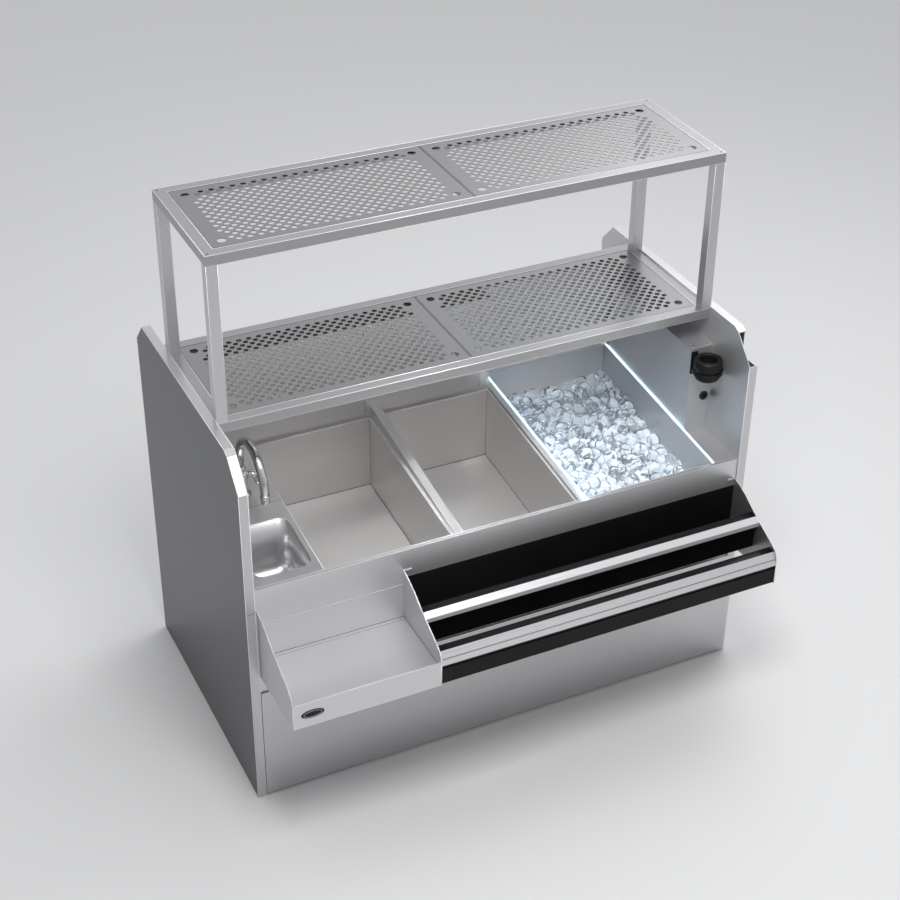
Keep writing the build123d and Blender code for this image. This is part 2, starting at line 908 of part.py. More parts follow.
def shelf_frame(top_z, rear_y):
    """A rectangular channel frame with a ledge and a middle bar for two inserts."""
    low_z = top_z - shelf_rail_height
    block((-inner_x, shelf_y, low_z), (inner_x, rear_y, top_z))
    block(
        (-inner_x + shelf_tube, shelf_y + shelf_tube, low_z - overrun),
        (inner_x - shelf_tube, rear_y - shelf_tube, top_z + overrun),
        Mode.SUBTRACT,
    )
    hollow = shelf_tube - shelf_wall
    for low, high in (
        ((-inner_x + shelf_wall, shelf_y + shelf_wall), (inner_x - shelf_wall, shelf_y + hollow)),
        ((-inner_x + shelf_wall, rear_y - hollow), (inner_x - shelf_wall, rear_y - shelf_wall)),
        ((-inner_x + shelf_wall, shelf_y + shelf_wall), (-inner_x + hollow, rear_y - shelf_wall)),
        ((inner_x - hollow, shelf_y + shelf_wall), (inner_x - shelf_wall, rear_y - shelf_wall)),
    ):
        block((*low, low_z - overrun), (*high, top_z - shelf_wall), Mode.SUBTRACT)
    ledge_z = top_z - insert_height
    inner_front = shelf_y + shelf_tube
    inner_rear = rear_y - shelf_tube
    side_x = inner_x - shelf_tube
    for low, high in (
        ((-side_x, inner_front), (side_x, inner_front + insert_ledge)),
        ((-side_x, inner_rear - insert_ledge), (side_x, inner_rear)),
        ((-side_x, inner_front), (-side_x + insert_ledge, inner_rear)),
        ((side_x - insert_ledge, inner_front), (side_x, inner_rear)),
    ):
        block((*low, ledge_z - shelf_wall), (*high, ledge_z))
    block((-crossbar_width / 2, inner_front, low_z), (crossbar_width / 2, inner_rear, ledge_z))


with BuildPart() as lower_shelf_frame:
    shelf_frame(lower_shelf_height, lower_back_y)

with BuildPart() as top_shelf_frame:
    shelf_frame(top_shelf_height, top_back_y)


def post_pair(low_y, foot_z):
    """Two square tube posts standing at the ends of the shelf, from foot_z to the top shelf."""
    head_z = top_shelf_height - shelf_rail_height
    for start_x in (-inner_x, inner_x - shelf_tube):
        block((start_x, low_y, foot_z), (start_x + shelf_tube, low_y + shelf_tube, head_z))
        block(
            (start_x + post_wall, low_y + post_wall, foot_z - overrun),
            (start_x + shelf_tube - post_wall, low_y + shelf_tube - post_wall, head_z + overrun),
            Mode.SUBTRACT,
        )


with BuildPart() as front_posts:
    post_pair(shelf_y, lower_shelf_height)

with BuildPart() as rear_posts:
    post_pair(top_back_y - shelf_tube, lower_shelf_height)


def lattice(low_x, high_x, low_y, high_y, fingers):
    """Hole centres of a staggered field that stays clear of the finger holes."""
    step = hole_pitch
    columns = int((high_x - low_x) / step)
    rows = int((high_y - low_y) / step)
    start_x = (low_x + high_x - columns * step) / 2
    start_y = (low_y + high_y - rows * step) / 2
    straight = [
        (start_x + i * step, start_y + j * step) for i in range(columns + 1) for j in range(rows + 1)
    ]
    between = [(x + step / 2, y + step / 2) for x, y in straight if x < high_x - step and y < high_y - step]
    reach = finger_radius + hole_radius + finger_clear
    return [
        place
        for place in straight + between
        if all((place[0] - x) ** 2 + (place[1] - y) ** 2 > reach**2 for x, y in fingers)
    ]


def insert_plate(top_z, rear_y):
    """The left perforated insert of a shelf: a plate on a down-turned edge, in the piece being built."""
    low_x = -inner_x + shelf_tube + part_gap
    high_x = -insert_seam / 2
    low_y = shelf_y + shelf_tube + part_gap
    high_y = rear_y - shelf_tube - part_gap
    fingers = [
        (x, y)
        for x in (low_x + finger_inset_x, high_x - finger_inset_x)
        for y in (low_y + finger_inset_y, high_y - finger_inset_y)
    ]
    holes = lattice(
        low_x + field_side_margin,
        high_x - field_side_margin,
        low_y + field_end_margin,
        high_y - field_end_margin,
        fingers,
    )
    rim_wire = Wire.make_polygon([(low_x, low_y), (high_x, low_y), (high_x, high_y), (low_x, high_y)])
    hole_wires = [Wire.make_circle(hole_radius, Plane((x, y, 0))) for x, y in holes]
    hole_wires += [Wire.make_circle(finger_radius, Plane((x, y, 0))) for x, y in fingers]
    perforated = Face(rim_wire, hole_wires).moved(Location((0, 0, top_z - sheet)))
    extrude(perforated, amount=sheet, dir=(0, 0, 1))
    with BuildSketch(Plane.XY.offset(top_z - insert_height)) as edge:
        with Locations(((low_x + high_x) / 2, (low_y + high_y) / 2)):
            Rectangle(high_x - low_x, high_y - low_y)
            Rectangle(high_x - low_x - 2 * sheet, high_y - low_y - 2 * sheet, mode=Mode.SUBTRACT)
    extrude(edge.sketch, amount=insert_height - sheet)


with BuildPart() as lower_insert_left:
    insert_plate(lower_shelf_height, lower_back_y)

with BuildPart() as lower_insert_right:
    mirror(lower_insert_left.part, about=Plane.YZ)

with BuildPart() as top_insert_left:
    insert_plate(top_shelf_height, top_back_y)

with BuildPart() as top_insert_right:
    mirror(top_insert_left.part, about=Plane.YZ)

# Drop shelf on the front

plate_foot_share = 0.037
plate_shares = (
    (0.000, 1.000),
    (0.128, 0.964),
    (0.256, 0.905),
    (0.513, 0.744),
    (0.876, 0.559),
    (0.960, 0.500),
    (0.991, 0.431),
    (1.000, 0.357),
    (1.000, plate_foot_share),
    (0.000, 0.000),
)
plate_low = front_low - plate_height * plate_foot_share


def end_plate(start_x):
    """A thin end plate with the swept front edge of the rail, standing on the apron."""
    reach = apron_y - nose_y
    points = [(apron_y - reach * out, plate_low + plate_height * up) for out, up in plate_shares]
    carry(points, start_x, start_x + sheet)


with BuildPart() as drop_plate_left:
    end_plate(drop_x)

with BuildPart() as drop_plate_right:
    end_plate(drop_end_x - sheet)

with BuildPart() as drop_tray:
    tray_x = drop_x + sheet
    tray_end_x = drop_end_x - sheet
    block((tray_x, nose_y, drop_floor_height - sheet), (tray_end_x, apron_y, drop_floor_height))
    block((tray_x, apron_y - sheet, drop_floor_height), (tray_end_x, apron_y, drop_back_height))
    block((tray_x, nose_y, front_low), (tray_end_x, nose_y + sheet, drop_lip_height))
    block((tray_x, nose_y, front_low), (tray_end_x, nose_y + cover_return, front_low + sheet))

badge_place = (tray_x + badge_side_gap + badge_width / 2, (front_low + drop_lip_height) / 2)
with BuildPart() as front_badge:
    with BuildSketch(Plane.XZ.offset(-nose_y)):
        with Locations(badge_place):
            Ellipse(badge_width / 2, badge_height / 2)
    extrude(amount=badge_thickness)

# Two-tier bottle rail

upper_y = front_y - upper_front_reach
rail_low_x = rail_x + sheet
rail_high_x = rail_end_x - sheet

with BuildPart() as rail_plate_left:
    end_plate(rail_x)

with BuildPart() as rail_plate_right:
    end_plate(rail_end_x - sheet)

upper_bar_low = upper_bar_top - bar_height
lower_bar_low = lower_bar_top - bar_height - nose_fall + strip_fall
with BuildPart() as upper_trough:
    block((rail_low_x, apron_y - sheet, upper_floor_height), (rail_high_x, apron_y, upper_back_height))
    block((rail_low_x, upper_y, upper_floor_height), (rail_high_x, apron_y, upper_floor_height + sheet))
    block((rail_low_x, upper_y, upper_floor_height), (rail_high_x, upper_y + sheet, upper_bar_low))

with BuildPart() as lower_trough:
    block((rail_low_x, nose_y, lower_floor_height), (rail_high_x, upper_y, lower_floor_height + sheet))
    block((rail_low_x, nose_y, lower_floor_height), (rail_high_x, nose_y + sheet, lower_bar_low))
    block(
        (rail_low_x, upper_y - sheet, lower_floor_height),
        (rail_high_x, upper_y, lower_floor_height + lower_rear_lip),
    )

with BuildPart() as rail_bars:
    carry(
        [
            (upper_y + bar_width, upper_bar_top),
            (upper_y, upper_bar_top),
            (upper_y - strip_overhang + sheet, upper_bar_top - strip_fall),
            (upper_y - strip_overhang + sheet, upper_bar_low),
            (upper_y + bar_width, upper_bar_low),
        ],
        rail_low_x,
        rail_high_x,
    )
    carry(
        [
            (nose_y + strip_overhang + bar_width, lower_bar_top),
            (nose_y + strip_overhang, lower_bar_top),
            (nose_y + sheet, lower_bar_top - nose_fall),
            (nose_y + sheet, lower_bar_low),
            (nose_y + strip_overhang + bar_width, lower_bar_low),
        ],
        rail_low_x,
        rail_high_x,
    )

with BuildPart() as rail_strips:
    carry(
        [
            (upper_y, upper_bar_top),
            (upper_y - strip_overhang, upper_bar_top - strip_fall + sheet / 2),
            (upper_y - strip_overhang, upper_bar_top - 2 * strip_fall),
            (upper_y - strip_overhang + sheet, upper_bar_top - 2 * strip_fall),
            (upper_y - strip_overhang + sheet, upper_bar_top - strip_fall),
        ],
        rail_low_x,
        rail_high_x,
    )
    carry(
        [
            (nose_y + strip_overhang, lower_bar_top),
            (nose_y, lower_bar_top - nose_fall + sheet),
            (nose_y, lower_bar_top - nose_fall - sheet),
            (nose_y + sheet, lower_bar_top - nose_fall - sheet),
            (nose_y + sheet, lower_bar_top - nose_fall),
        ],
        rail_low_x,
        rail_high_x,
    )

hook_z = plate_low + plate_height - hook_height
with BuildPart() as rail_hooks:
    for start_x in (rail_x + sheet, rail_end_x - sheet - hook_length):
        block(
            (start_x, apron_y - hook_reach, hook_z),
            (start_x + hook_length, apron_y, hook_z + hook_height),
        )

# Labels and files

pieces = {
    "left_side_panel": left_side_panel,
    "left_outer_skin": left_outer_skin,
    "right_side_panel": right_side_panel,
    "right_outer_skin": right_outer_skin,
    "base_front_rail": base_front_rail,
    "base_rear_rail": base_rear_rail,
    "base_cross_rails": base_cross_rails,
    "levelling_feet": levelling_feet,
    "bottom_panel": bottom_panel,
    "back_panel": back_panel,
    "lower_front_panel": lower_front_panel,
    "front_apron": front_apron,
    "backsplash": backsplash,
    "splash_hems": splash_hems,
    "sink_deck": sink_deck,
    "sink_bowl": sink_bowl,
    "sink_drain": sink_drain,
    "sink_strainer": sink_strainer,
    "faucet_deck": faucet_deck,
    "faucet_body": faucet_body,
    "faucet_nut": faucet_nut,
    "faucet_spout": faucet_spout,
    "faucet_aerator": faucet_aerator,
    "faucet_lever": faucet_lever,
    "well_left": well_left,
    "well_right": well_right,
    "well_drains": well_drains,
    "divider_bar": divider_bar,
    "bin_liner": bin_liner,
    "bin_insulation": bin_insulation,
    "bin_drain": bin_drain,
    "false_bottom": false_bottom,
    "rim_light_left": rim_light_left,
    "rim_light_right": rim_light_right,
    "ice": ice,
    "right_deck": right_deck,
    "chase_cover": chase_cover,
    "hose_grommet": hose_grommet,
    "holster_bracket": holster_bracket,
    "holster_cup": holster_cup,
    "chase_screws": chase_screws,
    "lower_shelf_frame": lower_shelf_frame,
    "top_shelf_frame": top_shelf_frame,
    "front_posts": front_posts,
    "rear_posts": rear_posts,
    "lower_insert_left": lower_insert_left,
    "lower_insert_right": lower_insert_right,
    "top_insert_left": top_insert_left,
    "top_insert_right": top_insert_right,
    "drop_plate_left": drop_plate_left,
    "drop_plate_right": drop_plate_right,
    "drop_tray": drop_tray,
    "front_badge": front_badge,
    "rail_plate_left": rail_plate_left,
    "rail_plate_right": rail_plate_right,
    "upper_trough": upper_trough,
    "lower_trough": lower_trough,
    "rail_bars": rail_bars,
    "rail_strips": rail_strips,
    "rail_hooks": rail_hooks,
}

for name, piece in pieces.items():
    piece.part.label = name
    export_step(piece.part, f"parts/{name}.step")
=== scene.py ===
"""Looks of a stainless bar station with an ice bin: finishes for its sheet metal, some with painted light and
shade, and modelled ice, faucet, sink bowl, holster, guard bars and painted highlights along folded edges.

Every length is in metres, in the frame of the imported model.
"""
import math

import bmesh
import bpy
import numpy as np
from mathutils import Matrix, Vector


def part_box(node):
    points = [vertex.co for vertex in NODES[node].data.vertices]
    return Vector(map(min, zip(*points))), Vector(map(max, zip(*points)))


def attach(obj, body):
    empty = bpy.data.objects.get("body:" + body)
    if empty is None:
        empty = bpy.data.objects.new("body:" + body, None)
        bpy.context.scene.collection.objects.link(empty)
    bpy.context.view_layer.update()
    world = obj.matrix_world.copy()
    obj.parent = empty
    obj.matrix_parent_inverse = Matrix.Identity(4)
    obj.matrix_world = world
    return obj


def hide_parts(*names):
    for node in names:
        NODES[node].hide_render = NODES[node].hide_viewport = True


bl_info = {
    "name": "Bar station with ice bin",
    "version": (1, 0, 0),
    "blender": (4, 5, 0),
    "location": "View3D > Sidebar > Bar station",
    "description": "Dresses the packed bar station: finishes, ice, faucet, bowl, holster, bars and edges",
    "category": "Object",
}

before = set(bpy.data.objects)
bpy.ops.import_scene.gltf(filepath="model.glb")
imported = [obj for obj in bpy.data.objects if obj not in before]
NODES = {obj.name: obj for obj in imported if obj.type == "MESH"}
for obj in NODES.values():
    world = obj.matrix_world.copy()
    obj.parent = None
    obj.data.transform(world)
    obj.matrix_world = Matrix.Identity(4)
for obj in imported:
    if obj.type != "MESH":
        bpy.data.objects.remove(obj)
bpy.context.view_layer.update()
MM = 0.001
CABINET = "cabinet"

# Sockets of a colour mix node: its two colours, and the mixed colour
MIX_A, MIX_B, MIX_COLOUR = 6, 7, 2


# Sizes and colours that a user may change


class StationFinish(bpy.types.PropertyGroup):
    """Colours and gloss of the station's surfaces."""

    steel: bpy.props.FloatVectorProperty(
        name="Satin steel", description="Base colour of the brushed panels", subtype="COLOR",
        size=3, min=0, max=1, default=(0.56, 0.56, 0.57),
    )
    # Painted shade: the left outer skin is the same steel as the other panels; this darker colour stands for
    # the shade on that side
    side_shade_steel: bpy.props.FloatVectorProperty(
        name="Side steel", description="Base colour of the left outer skin", subtype="COLOR",
        size=3, min=0, max=1, default=(0.26, 0.265, 0.285),
    )
    # Painted highlight: the bright edge lines stand for light caught by folded edges and rims; the rail's
    # strips take a darker share of this colour
    edge_highlight_and_strip: bpy.props.FloatVectorProperty(
        name="Bright edge", description="Base colour of ground edges and strips", subtype="COLOR",
        size=3, min=0, max=1, default=(0.86, 0.865, 0.88),
    )
    steel_roughness: bpy.props.FloatProperty(
        name="Satin roughness", description="Blur of reflections in the brushed panels",
        min=0, max=1, default=0.30,
    )
    black: bpy.props.FloatVectorProperty(
        name="Rail black", description="Base colour of the bottle rail's black faces", subtype="COLOR",
        size=3, min=0, max=1, default=(0.006, 0.006, 0.0065),
    )
    glow: bpy.props.FloatVectorProperty(
        name="Rim glow", description="Colour of the bin's rim lights", subtype="COLOR",
        size=3, min=0, max=1, default=(0.50, 0.76, 1.0),
    )
    glow_strength: bpy.props.FloatProperty(
        name="Glow strength", description="Brightness of the rim lights", min=0, max=50, default=1.4,
    )


class IceSettings(bpy.types.PropertyGroup):
    """Size and packing of the loose ice."""

    cube: bpy.props.FloatProperty(
        name="Cube", description="Edge length of an ice cube", unit="LENGTH",
        min=0.01, max=0.06, default=0.034,
    )
    layers: bpy.props.IntProperty(name="Layers", description="Layers of loose cubes", min=1, max=4, default=2)
    seed: bpy.props.IntProperty(name="Seed", description="Seed of the random packing", min=0, default=7)


# Mesh helpers


def millimetres(rows):
    """A table of lengths in millimetres as an array in metres."""
    return np.asarray(rows, float) * MM


def link(mesh, name, material, body=CABINET):
    """Puts a mesh into the scene as a smooth piece that rides on a body."""
    made = bpy.data.objects.new(name, mesh)
    bpy.context.scene.collection.objects.link(made)
    mesh.materials.append(material)
    mesh.polygons.foreach_set("use_smooth", np.full(len(mesh.polygons), True))
    mesh.update()
    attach(made, body)
    return made


def grid_faces(rows, columns, wrap_columns=False, start=0):
    """Quads of a rows by columns grid of points, row by row, each row optionally joined round."""
    r = np.arange(rows - 1)
    c = np.arange(columns if wrap_columns else columns - 1)
    r, c = np.meshgrid(r, c, indexing="ij")
    r2, c2 = r + 1, (c + 1) % columns
    quads = np.stack([r * columns + c, r * columns + c2, r2 * columns + c2, r2 * columns + c], -1)
    return quads.reshape(-1, 4) + start


def build_mesh(name, points, faces):
    """A mesh from an (n, 3) array of points and a list of faces."""
    mesh = bpy.data.meshes.new(name)
    points = np.asarray(points, float).reshape(-1, 3)
    mesh.from_pydata(points.tolist(), [], [list(map(int, f)) for f in faces])
    mesh.validate()
    return mesh


def turned(profile, centre, sides=48):
    """A closed turned shape: each (radius, height) of the profile carried round a vertical axis.
    point(i, a) = centre + (r_i cos a, r_i sin a, h_i)."""
    profile = np.asarray(profile, float)
    angle = np.linspace(0, 2 * np.pi, sides, endpoint=False)
    x = profile[:, :1] * np.cos(angle)
    y = profile[:, :1] * np.sin(angle)
    z = np.repeat(profile[:, 1:], sides, 1)
    points = np.stack([x, y, z], -1) + np.asarray(centre, float)
    faces = list(grid_faces(len(profile), sides, wrap_columns=True))
    return points.reshape(-1, 3), [tuple(f) for f in faces]


def frames_along(path):
    """Tangent and two side directions at each point of a path: the side is square to the tangent and
    the X axis, and to the Y axis where the tangent runs nearly along X.
    """
    path = np.asarray(path, float)
    tangent = np.gradient(path, axis=0)
    tangent /= np.linalg.norm(tangent, axis=1, keepdims=True)
    side = np.cross(tangent, [1.0, 0.0, 0.0])
    nearly_parallel = 0.1
    weak = np.linalg.norm(side, axis=1) < nearly_parallel
    side[weak] = np.cross(tangent[weak], [0.0, 1.0, 0.0])
    side /= np.linalg.norm(side, axis=1, keepdims=True)
    return tangent, side, np.cross(tangent, side)


def tube(path, radius, sides=20):
    """A round tube with flat end caps: point(s, a) = path(s) + radius(s) (cos a side + sin a up)."""
    path = np.asarray(path, float)
    _, side, up = frames_along(path)
    radius = np.broadcast_to(np.asarray(radius, float), len(path))
    angle = np.linspace(0, 2 * np.pi, sides, endpoint=False)
    ring = np.cos(angle)[None, :, None] * side[:, None] + np.sin(angle)[None, :, None] * up[:, None]
    points = (path[:, None] + radius[:, None, None] * ring).reshape(-1, 3)
    faces = [tuple(f) for f in grid_faces(len(path), sides, wrap_columns=True)]
    last = (len(path) - 1) * sides
    faces += [tuple(range(sides))[::-1], tuple(range(last, last + sides))]
    return points, faces


def carried(profile, start, end, steps=2):
    """A closed (y, z) profile carried along X from start to end, with flat caps.
    point(x, i) = (x, y_i, z_i)."""
    profile = np.asarray(profile, float)
    xs = np.linspace(start, end, steps)
    n = len(profile)
    points = np.concatenate([np.column_stack([np.full(n, x), profile]) for x in xs])
    faces = [tuple(f) for f in grid_faces(steps, n, wrap_columns=True)]
    last = (steps - 1) * n
    faces += [tuple(range(n))[::-1], tuple(range(last, last + n))]
    return points, faces


def joined(parts):
    """Several (points, faces) pairs as one."""
    points, faces, start = [], [], 0
    for p, f in parts:
        points.append(np.asarray(p, float))
        faces += [tuple(int(i) + start for i in face) for face in f]
        start += len(p)
    return np.concatenate(points), faces


def rounded_profile(corners, radius, steps=5):
    """A polygon of (y, z) corners with each corner turned into an arc of the given radius."""
    corners = np.asarray(corners, float)
    out = []
    share_of_side = 0.45
    for i, here in enumerate(corners):
        before, after = corners[i - 1], corners[(i + 1) % len(corners)]
        u = (before - here) / np.linalg.norm(before - here)
        v = (after - here) / np.linalg.norm(after - here)
        half = math.acos(np.clip(u @ v, -1, 1)) / 2
        shorter = min(np.linalg.norm(before - here), np.linalg.norm(after - here))
        reach = min(radius / math.tan(half), share_of_side * shorter)
        r = reach * math.tan(half)
        middle = (u + v) / np.linalg.norm(u + v)
        centre = here + middle * r / math.sin(half)
        a, b = here + u * reach - centre, here + v * reach - centre
        start = math.atan2(a[1], a[0])
        turn = (math.atan2(b[1], b[0]) - start + np.pi) % (2 * np.pi) - np.pi
        angle = start + turn * np.linspace(0, 1, steps)
        out.append(centre + r * np.column_stack([np.cos(angle), np.sin(angle)]))
    return np.concatenate(out)


def outwards(mesh):
    """Turns every face of a closed mesh outwards."""
    work = bmesh.new()
    work.from_mesh(mesh)
    same_point = 0.001 * MM
    bmesh.ops.remove_doubles(work, verts=work.verts, dist=same_point)
    bmesh.ops.recalc_face_normals(work, faces=work.faces)
    work.to_mesh(mesh)
    work.free()
    return mesh


def piece(name, shape, material, body=CABINET):
    """A piece from a (points, faces) pair."""
    return link(outwards(build_mesh(name, *shape)), name, material, body)


# Materials


def new_material(name):
    """An empty node material and its tools: the node maker, the linker and the shader."""
    material = bpy.data.materials.new(name)
    material.use_nodes = True
    tree = material.node_tree
    tree.nodes.clear()
    output = tree.nodes.new("ShaderNodeOutputMaterial")
    shader = tree.nodes.new("ShaderNodeBsdfPrincipled")
    tree.links.new(shader.outputs[0], output.inputs[0])

    def make(kind, **values):
        node = tree.nodes.new(kind)
        for key, value in values.items():
            if hasattr(node, key):
                setattr(node, key, value)
            else:
                node.inputs[key].default_value = value
        return node

    return material, make, tree.links.new, shader


def coordinates(make, join, scale=(1, 1, 1)):
    """Object coordinates stretched by a scale for each axis."""
    place = make("ShaderNodeTexCoord")
    mapping = make("ShaderNodeMapping")
    mapping.inputs["Scale"].default_value = scale
    join(place.outputs["Object"], mapping.inputs["Vector"])
    return mapping.outputs["Vector"]


def roughened(make, join, shader, source, low, high):
    """Gives the shader a roughness between low and high by a 0 to 1 value."""
    node = make("ShaderNodeMapRange")
    node.inputs["To Min"].default_value = low
    node.inputs["To Max"].default_value = high
    join(source, node.inputs["Value"])
    join(node.outputs["Result"], shader.inputs["Roughness"])


def two_tone(make, join, share, first, second):
    """A colour that turns from the first to the second as a 0 to 1 share grows."""
    tone = make("ShaderNodeMix", data_type="RGBA")
    tone.inputs[MIX_A].default_value = (*first, 1)
    tone.inputs[MIX_B].default_value = (*second, 1)
    join(share, tone.inputs[0])
    return tone.outputs[MIX_COLOUR]


def bumped(make, join, shader, height, strength, distance):
    """Raises and sinks the shader's surface by a 0 to 1 height."""
    bump = make("ShaderNodeBump", Strength=strength, Distance=distance)
    join(height, bump.inputs["Height"])
    join(bump.outputs["Normal"], shader.inputs["Normal"])


# Stretch of the brushing's noise along X, Y and Z: low along the hair lines and high across them
ALONG_X, ALONG_Y, ALONG_Z = (6, 900, 900), (900, 6, 900), (900, 900, 6)
COARSE_X, COARSE_Y, UNBRUSHED, POLISHED = (6, 700, 700), (500, 6, 500), (60, 60, 60), (40, 40, 40)


def shade(colour, share):
    """A colour made darker or lighter by a share."""
    return tuple(c * share for c in colour)


def brushed(name, colour, roughness, grain=ALONG_X, spread=0.05, streak=0.06, metallic=1.0):
    """Brushed steel: hair-line streaks along the grain in roughness and height, and a soft cloudy tone."""
    material, make, join, shader = new_material(name)
    shader.inputs["Metallic"].default_value = metallic
    fine = make("ShaderNodeTexNoise", Scale=1.0, Detail=3.0, Roughness=0.6)
    join(coordinates(make, join, grain), fine.inputs["Vector"])
    cloud = make("ShaderNodeTexNoise", Scale=2.2, Detail=2.0, Roughness=0.5)
    join(coordinates(make, join), cloud.inputs["Vector"])
    cloud_share = 0.5
    clouds = make("ShaderNodeMath", operation="MULTIPLY")
    clouds.inputs[1].default_value = cloud_share
    join(cloud.outputs["Fac"], clouds.inputs[0])
    blend = make("ShaderNodeMath", operation="MULTIPLY_ADD")
    blend.inputs[1].default_value = 1 - cloud_share
    join(fine.outputs["Fac"], blend.inputs[0])
    join(clouds.outputs[0], blend.inputs[2])
    light = [min(1.0, c) for c in shade(colour, 1 + streak)]
    tone = two_tone(make, join, blend.outputs[0], shade(colour, 1 - streak), light)
    join(tone, shader.inputs["Base Color"])
    roughened(make, join, shader, fine.outputs["Fac"], roughness - spread, roughness + spread)
    bumped(make, join, shader, fine.outputs["Fac"], 0.04, 0.2 * MM)
    return material


def plastic(name, colour, roughness, specular=0.5):
    """Moulded plastic or rubber with a faint grain and slight wear in its gloss."""
    material, make, join, shader = new_material(name)
    grain = make("ShaderNodeTexNoise", Scale=900.0, Detail=2.0)
    wear = make("ShaderNodeTexNoise", Scale=9.0, Detail=4.0)
    for noise in (grain, wear):
        join(coordinates(make, join), noise.inputs["Vector"])
    worn = [c * 1.5 + 0.002 for c in colour]
    join(two_tone(make, join, wear.outputs["Fac"], colour, worn), shader.inputs["Base Color"])
    roughened(make, join, shader, wear.outputs["Fac"], roughness * 0.85, roughness * 1.15)
    shader.inputs["Specular IOR Level"].default_value = specular
    bumped(make, join, shader, grain.outputs["Fac"], 0.05, 0.1 * MM)
    return material


def clear_ice(name):
    """Clear ice: low index glass, a little milky, with trapped clouds that roughen it here and there."""
    material, make, join, shader = new_material(name)
    shader.inputs["IOR"].default_value = 1.27
    shader.inputs["Transmission Weight"].default_value = 0.975
    cloud = make("ShaderNodeTexNoise", Scale=55.0, Detail=3.0)
    join(coordinates(make, join), cloud.inputs["Vector"])
    bluish, clear = (0.90, 0.95, 1.0), (1.0, 1.0, 1.0)
    join(two_tone(make, join, cloud.outputs["Fac"], bluish, clear), shader.inputs["Base Color"])
    roughened(make, join, shader, cloud.outputs["Fac"], 0.0, 0.06)
    bumped(make, join, shader, cloud.outputs["Fac"], 0.25, 2 * MM)
    return material


def frosted_bed(name):
    """The packed ice under the loose cubes: pale, wet and uneven."""
    material, make, join, shader = new_material(name)
    cells = make("ShaderNodeTexVoronoi", Scale=38.0)
    join(coordinates(make, join), cells.inputs["Vector"])
    white, shaded = (0.86, 0.88, 0.90), (0.68, 0.71, 0.74)
    join(two_tone(make, join, cells.outputs["Distance"], white, shaded), shader.inputs["Base Color"])
    shader.inputs["Roughness"].default_value = 0.25
    shader.inputs["Coat Weight"].default_value = 0.6
    bumped(make, join, shader, cells.outputs["Distance"], 0.6, 6 * MM)
    return material


def glowing(name, colour, strength):
    """A diffusing light bar, a little paler here and there along its length."""
    material, make, join, shader = new_material(name)
    ripple = make("ShaderNodeTexNoise", Scale=30.0, Detail=1.0)
    join(coordinates(make, join, (1, 0.2, 1)), ripple.inputs["Vector"])
    paler = [min(1, c + 0.18) for c in colour]
    tone = two_tone(make, join, ripple.outputs["Fac"], colour, paler)
    join(tone, shader.inputs["Base Color"])
    join(tone, shader.inputs["Emission Color"])
    shader.inputs["Emission Strength"].default_value = strength
    shader.inputs["Roughness"].default_value = 0.4
    return material


def foam_board(name):
    """Pale rigid foam with fine cells."""
    return plastic(name, (0.72, 0.69, 0.56), 0.8)


LOOKS = {}
LOOK_NAMES = (
    "satin_x satin_y satin_z well_steel bin_steel tray_steel frame_steel side_steel insert_steel"
    " bright_strip bright_edge chrome mill_steel rail_black seam_dark holster_black grommet_black"
    " badge_black drain_grey foam_board clear_ice ice_bed rim_glow"
).split()


def finishes():
    """Every material of the station by name, made once."""
    if LOOKS:
        return LOOKS
    look = bpy.context.scene.station_finish
    steel, bright, rough = tuple(look.steel), tuple(look.edge_highlight_and_strip), look.steel_roughness
    warm = (steel[0] * 1.02, steel[1], steel[2] * 0.97)
    made = [
        brushed("satin_x", steel, rough, metallic=0.85),
        brushed("satin_y", steel, rough, ALONG_Y, metallic=0.8),
        brushed("satin_z", steel, rough, ALONG_Z, metallic=0.85),
        # Painted light: lighter copies of the satin steel for the wells, the bin side and the drop tray
        brushed("well_steel", shade(warm, 1.2), rough * 1.1, COARSE_Y, 0.02, 0.03, metallic=0.8),
        brushed("bin_steel", shade(steel, 1.1), rough * 1.1, COARSE_Y, 0.02, 0.03, metallic=0.7),
        brushed("tray_steel", shade(steel, 1.15), rough * 1.05, COARSE_X, 0.03, 0.04, metallic=0.8),
        # Painted shade: a darker copy of the satin steel for the shelf frames
        brushed("frame_steel", shade(steel, 0.66), rough, metallic=0.8),
        # Painted shade: a darkened copy of the steel for the left outer skin
        brushed("side_steel", shade(look.side_shade_steel, 0.4), rough * 1.2, ALONG_Z),
        # Painted shade: a darker copy of the satin steel for the shelf inserts
        brushed("insert_steel", shade(steel, 0.55), rough * 1.1),
        brushed("bright_strip", shade(bright, 0.72), 0.28, spread=0.03, metallic=0.4),
        # Painted highlight: near-white, mostly unmetallic lines that stand for light caught by edges, rims
        # and folds
        brushed("bright_edge", bright, 0.35, UNBRUSHED, 0.03, metallic=0.2),
        brushed("chrome", (0.72, 0.71, 0.70), 0.07, POLISHED, 0.02, 0.02),
        brushed("mill_steel", shade(steel, 0.8), 0.45, UNBRUSHED),
        plastic("rail_black", tuple(look.black), 0.24, 0.12),
        # Dark steel for screw heads and real joints, also used as painted shade along inner corners and folds
        brushed("seam_dark", (0.09, 0.09, 0.10), 0.5, UNBRUSHED, metallic=0.6),
        plastic("holster_black", (0.006, 0.006, 0.007), 0.36, 0.25),
        plastic("grommet_black", (0.02, 0.02, 0.02), 0.7),
        plastic("badge_black", (0.008, 0.008, 0.009), 0.35, 0.2),
        plastic("drain_grey", (0.42, 0.43, 0.45), 0.5),
        foam_board("foam_board"),
        clear_ice("clear_ice"),
        frosted_bed("ice_bed"),
        glowing("rim_glow", tuple(look.glow), look.glow_strength),
    ]
    LOOKS.update(zip(LOOK_NAMES, made, strict=True))
    return LOOKS


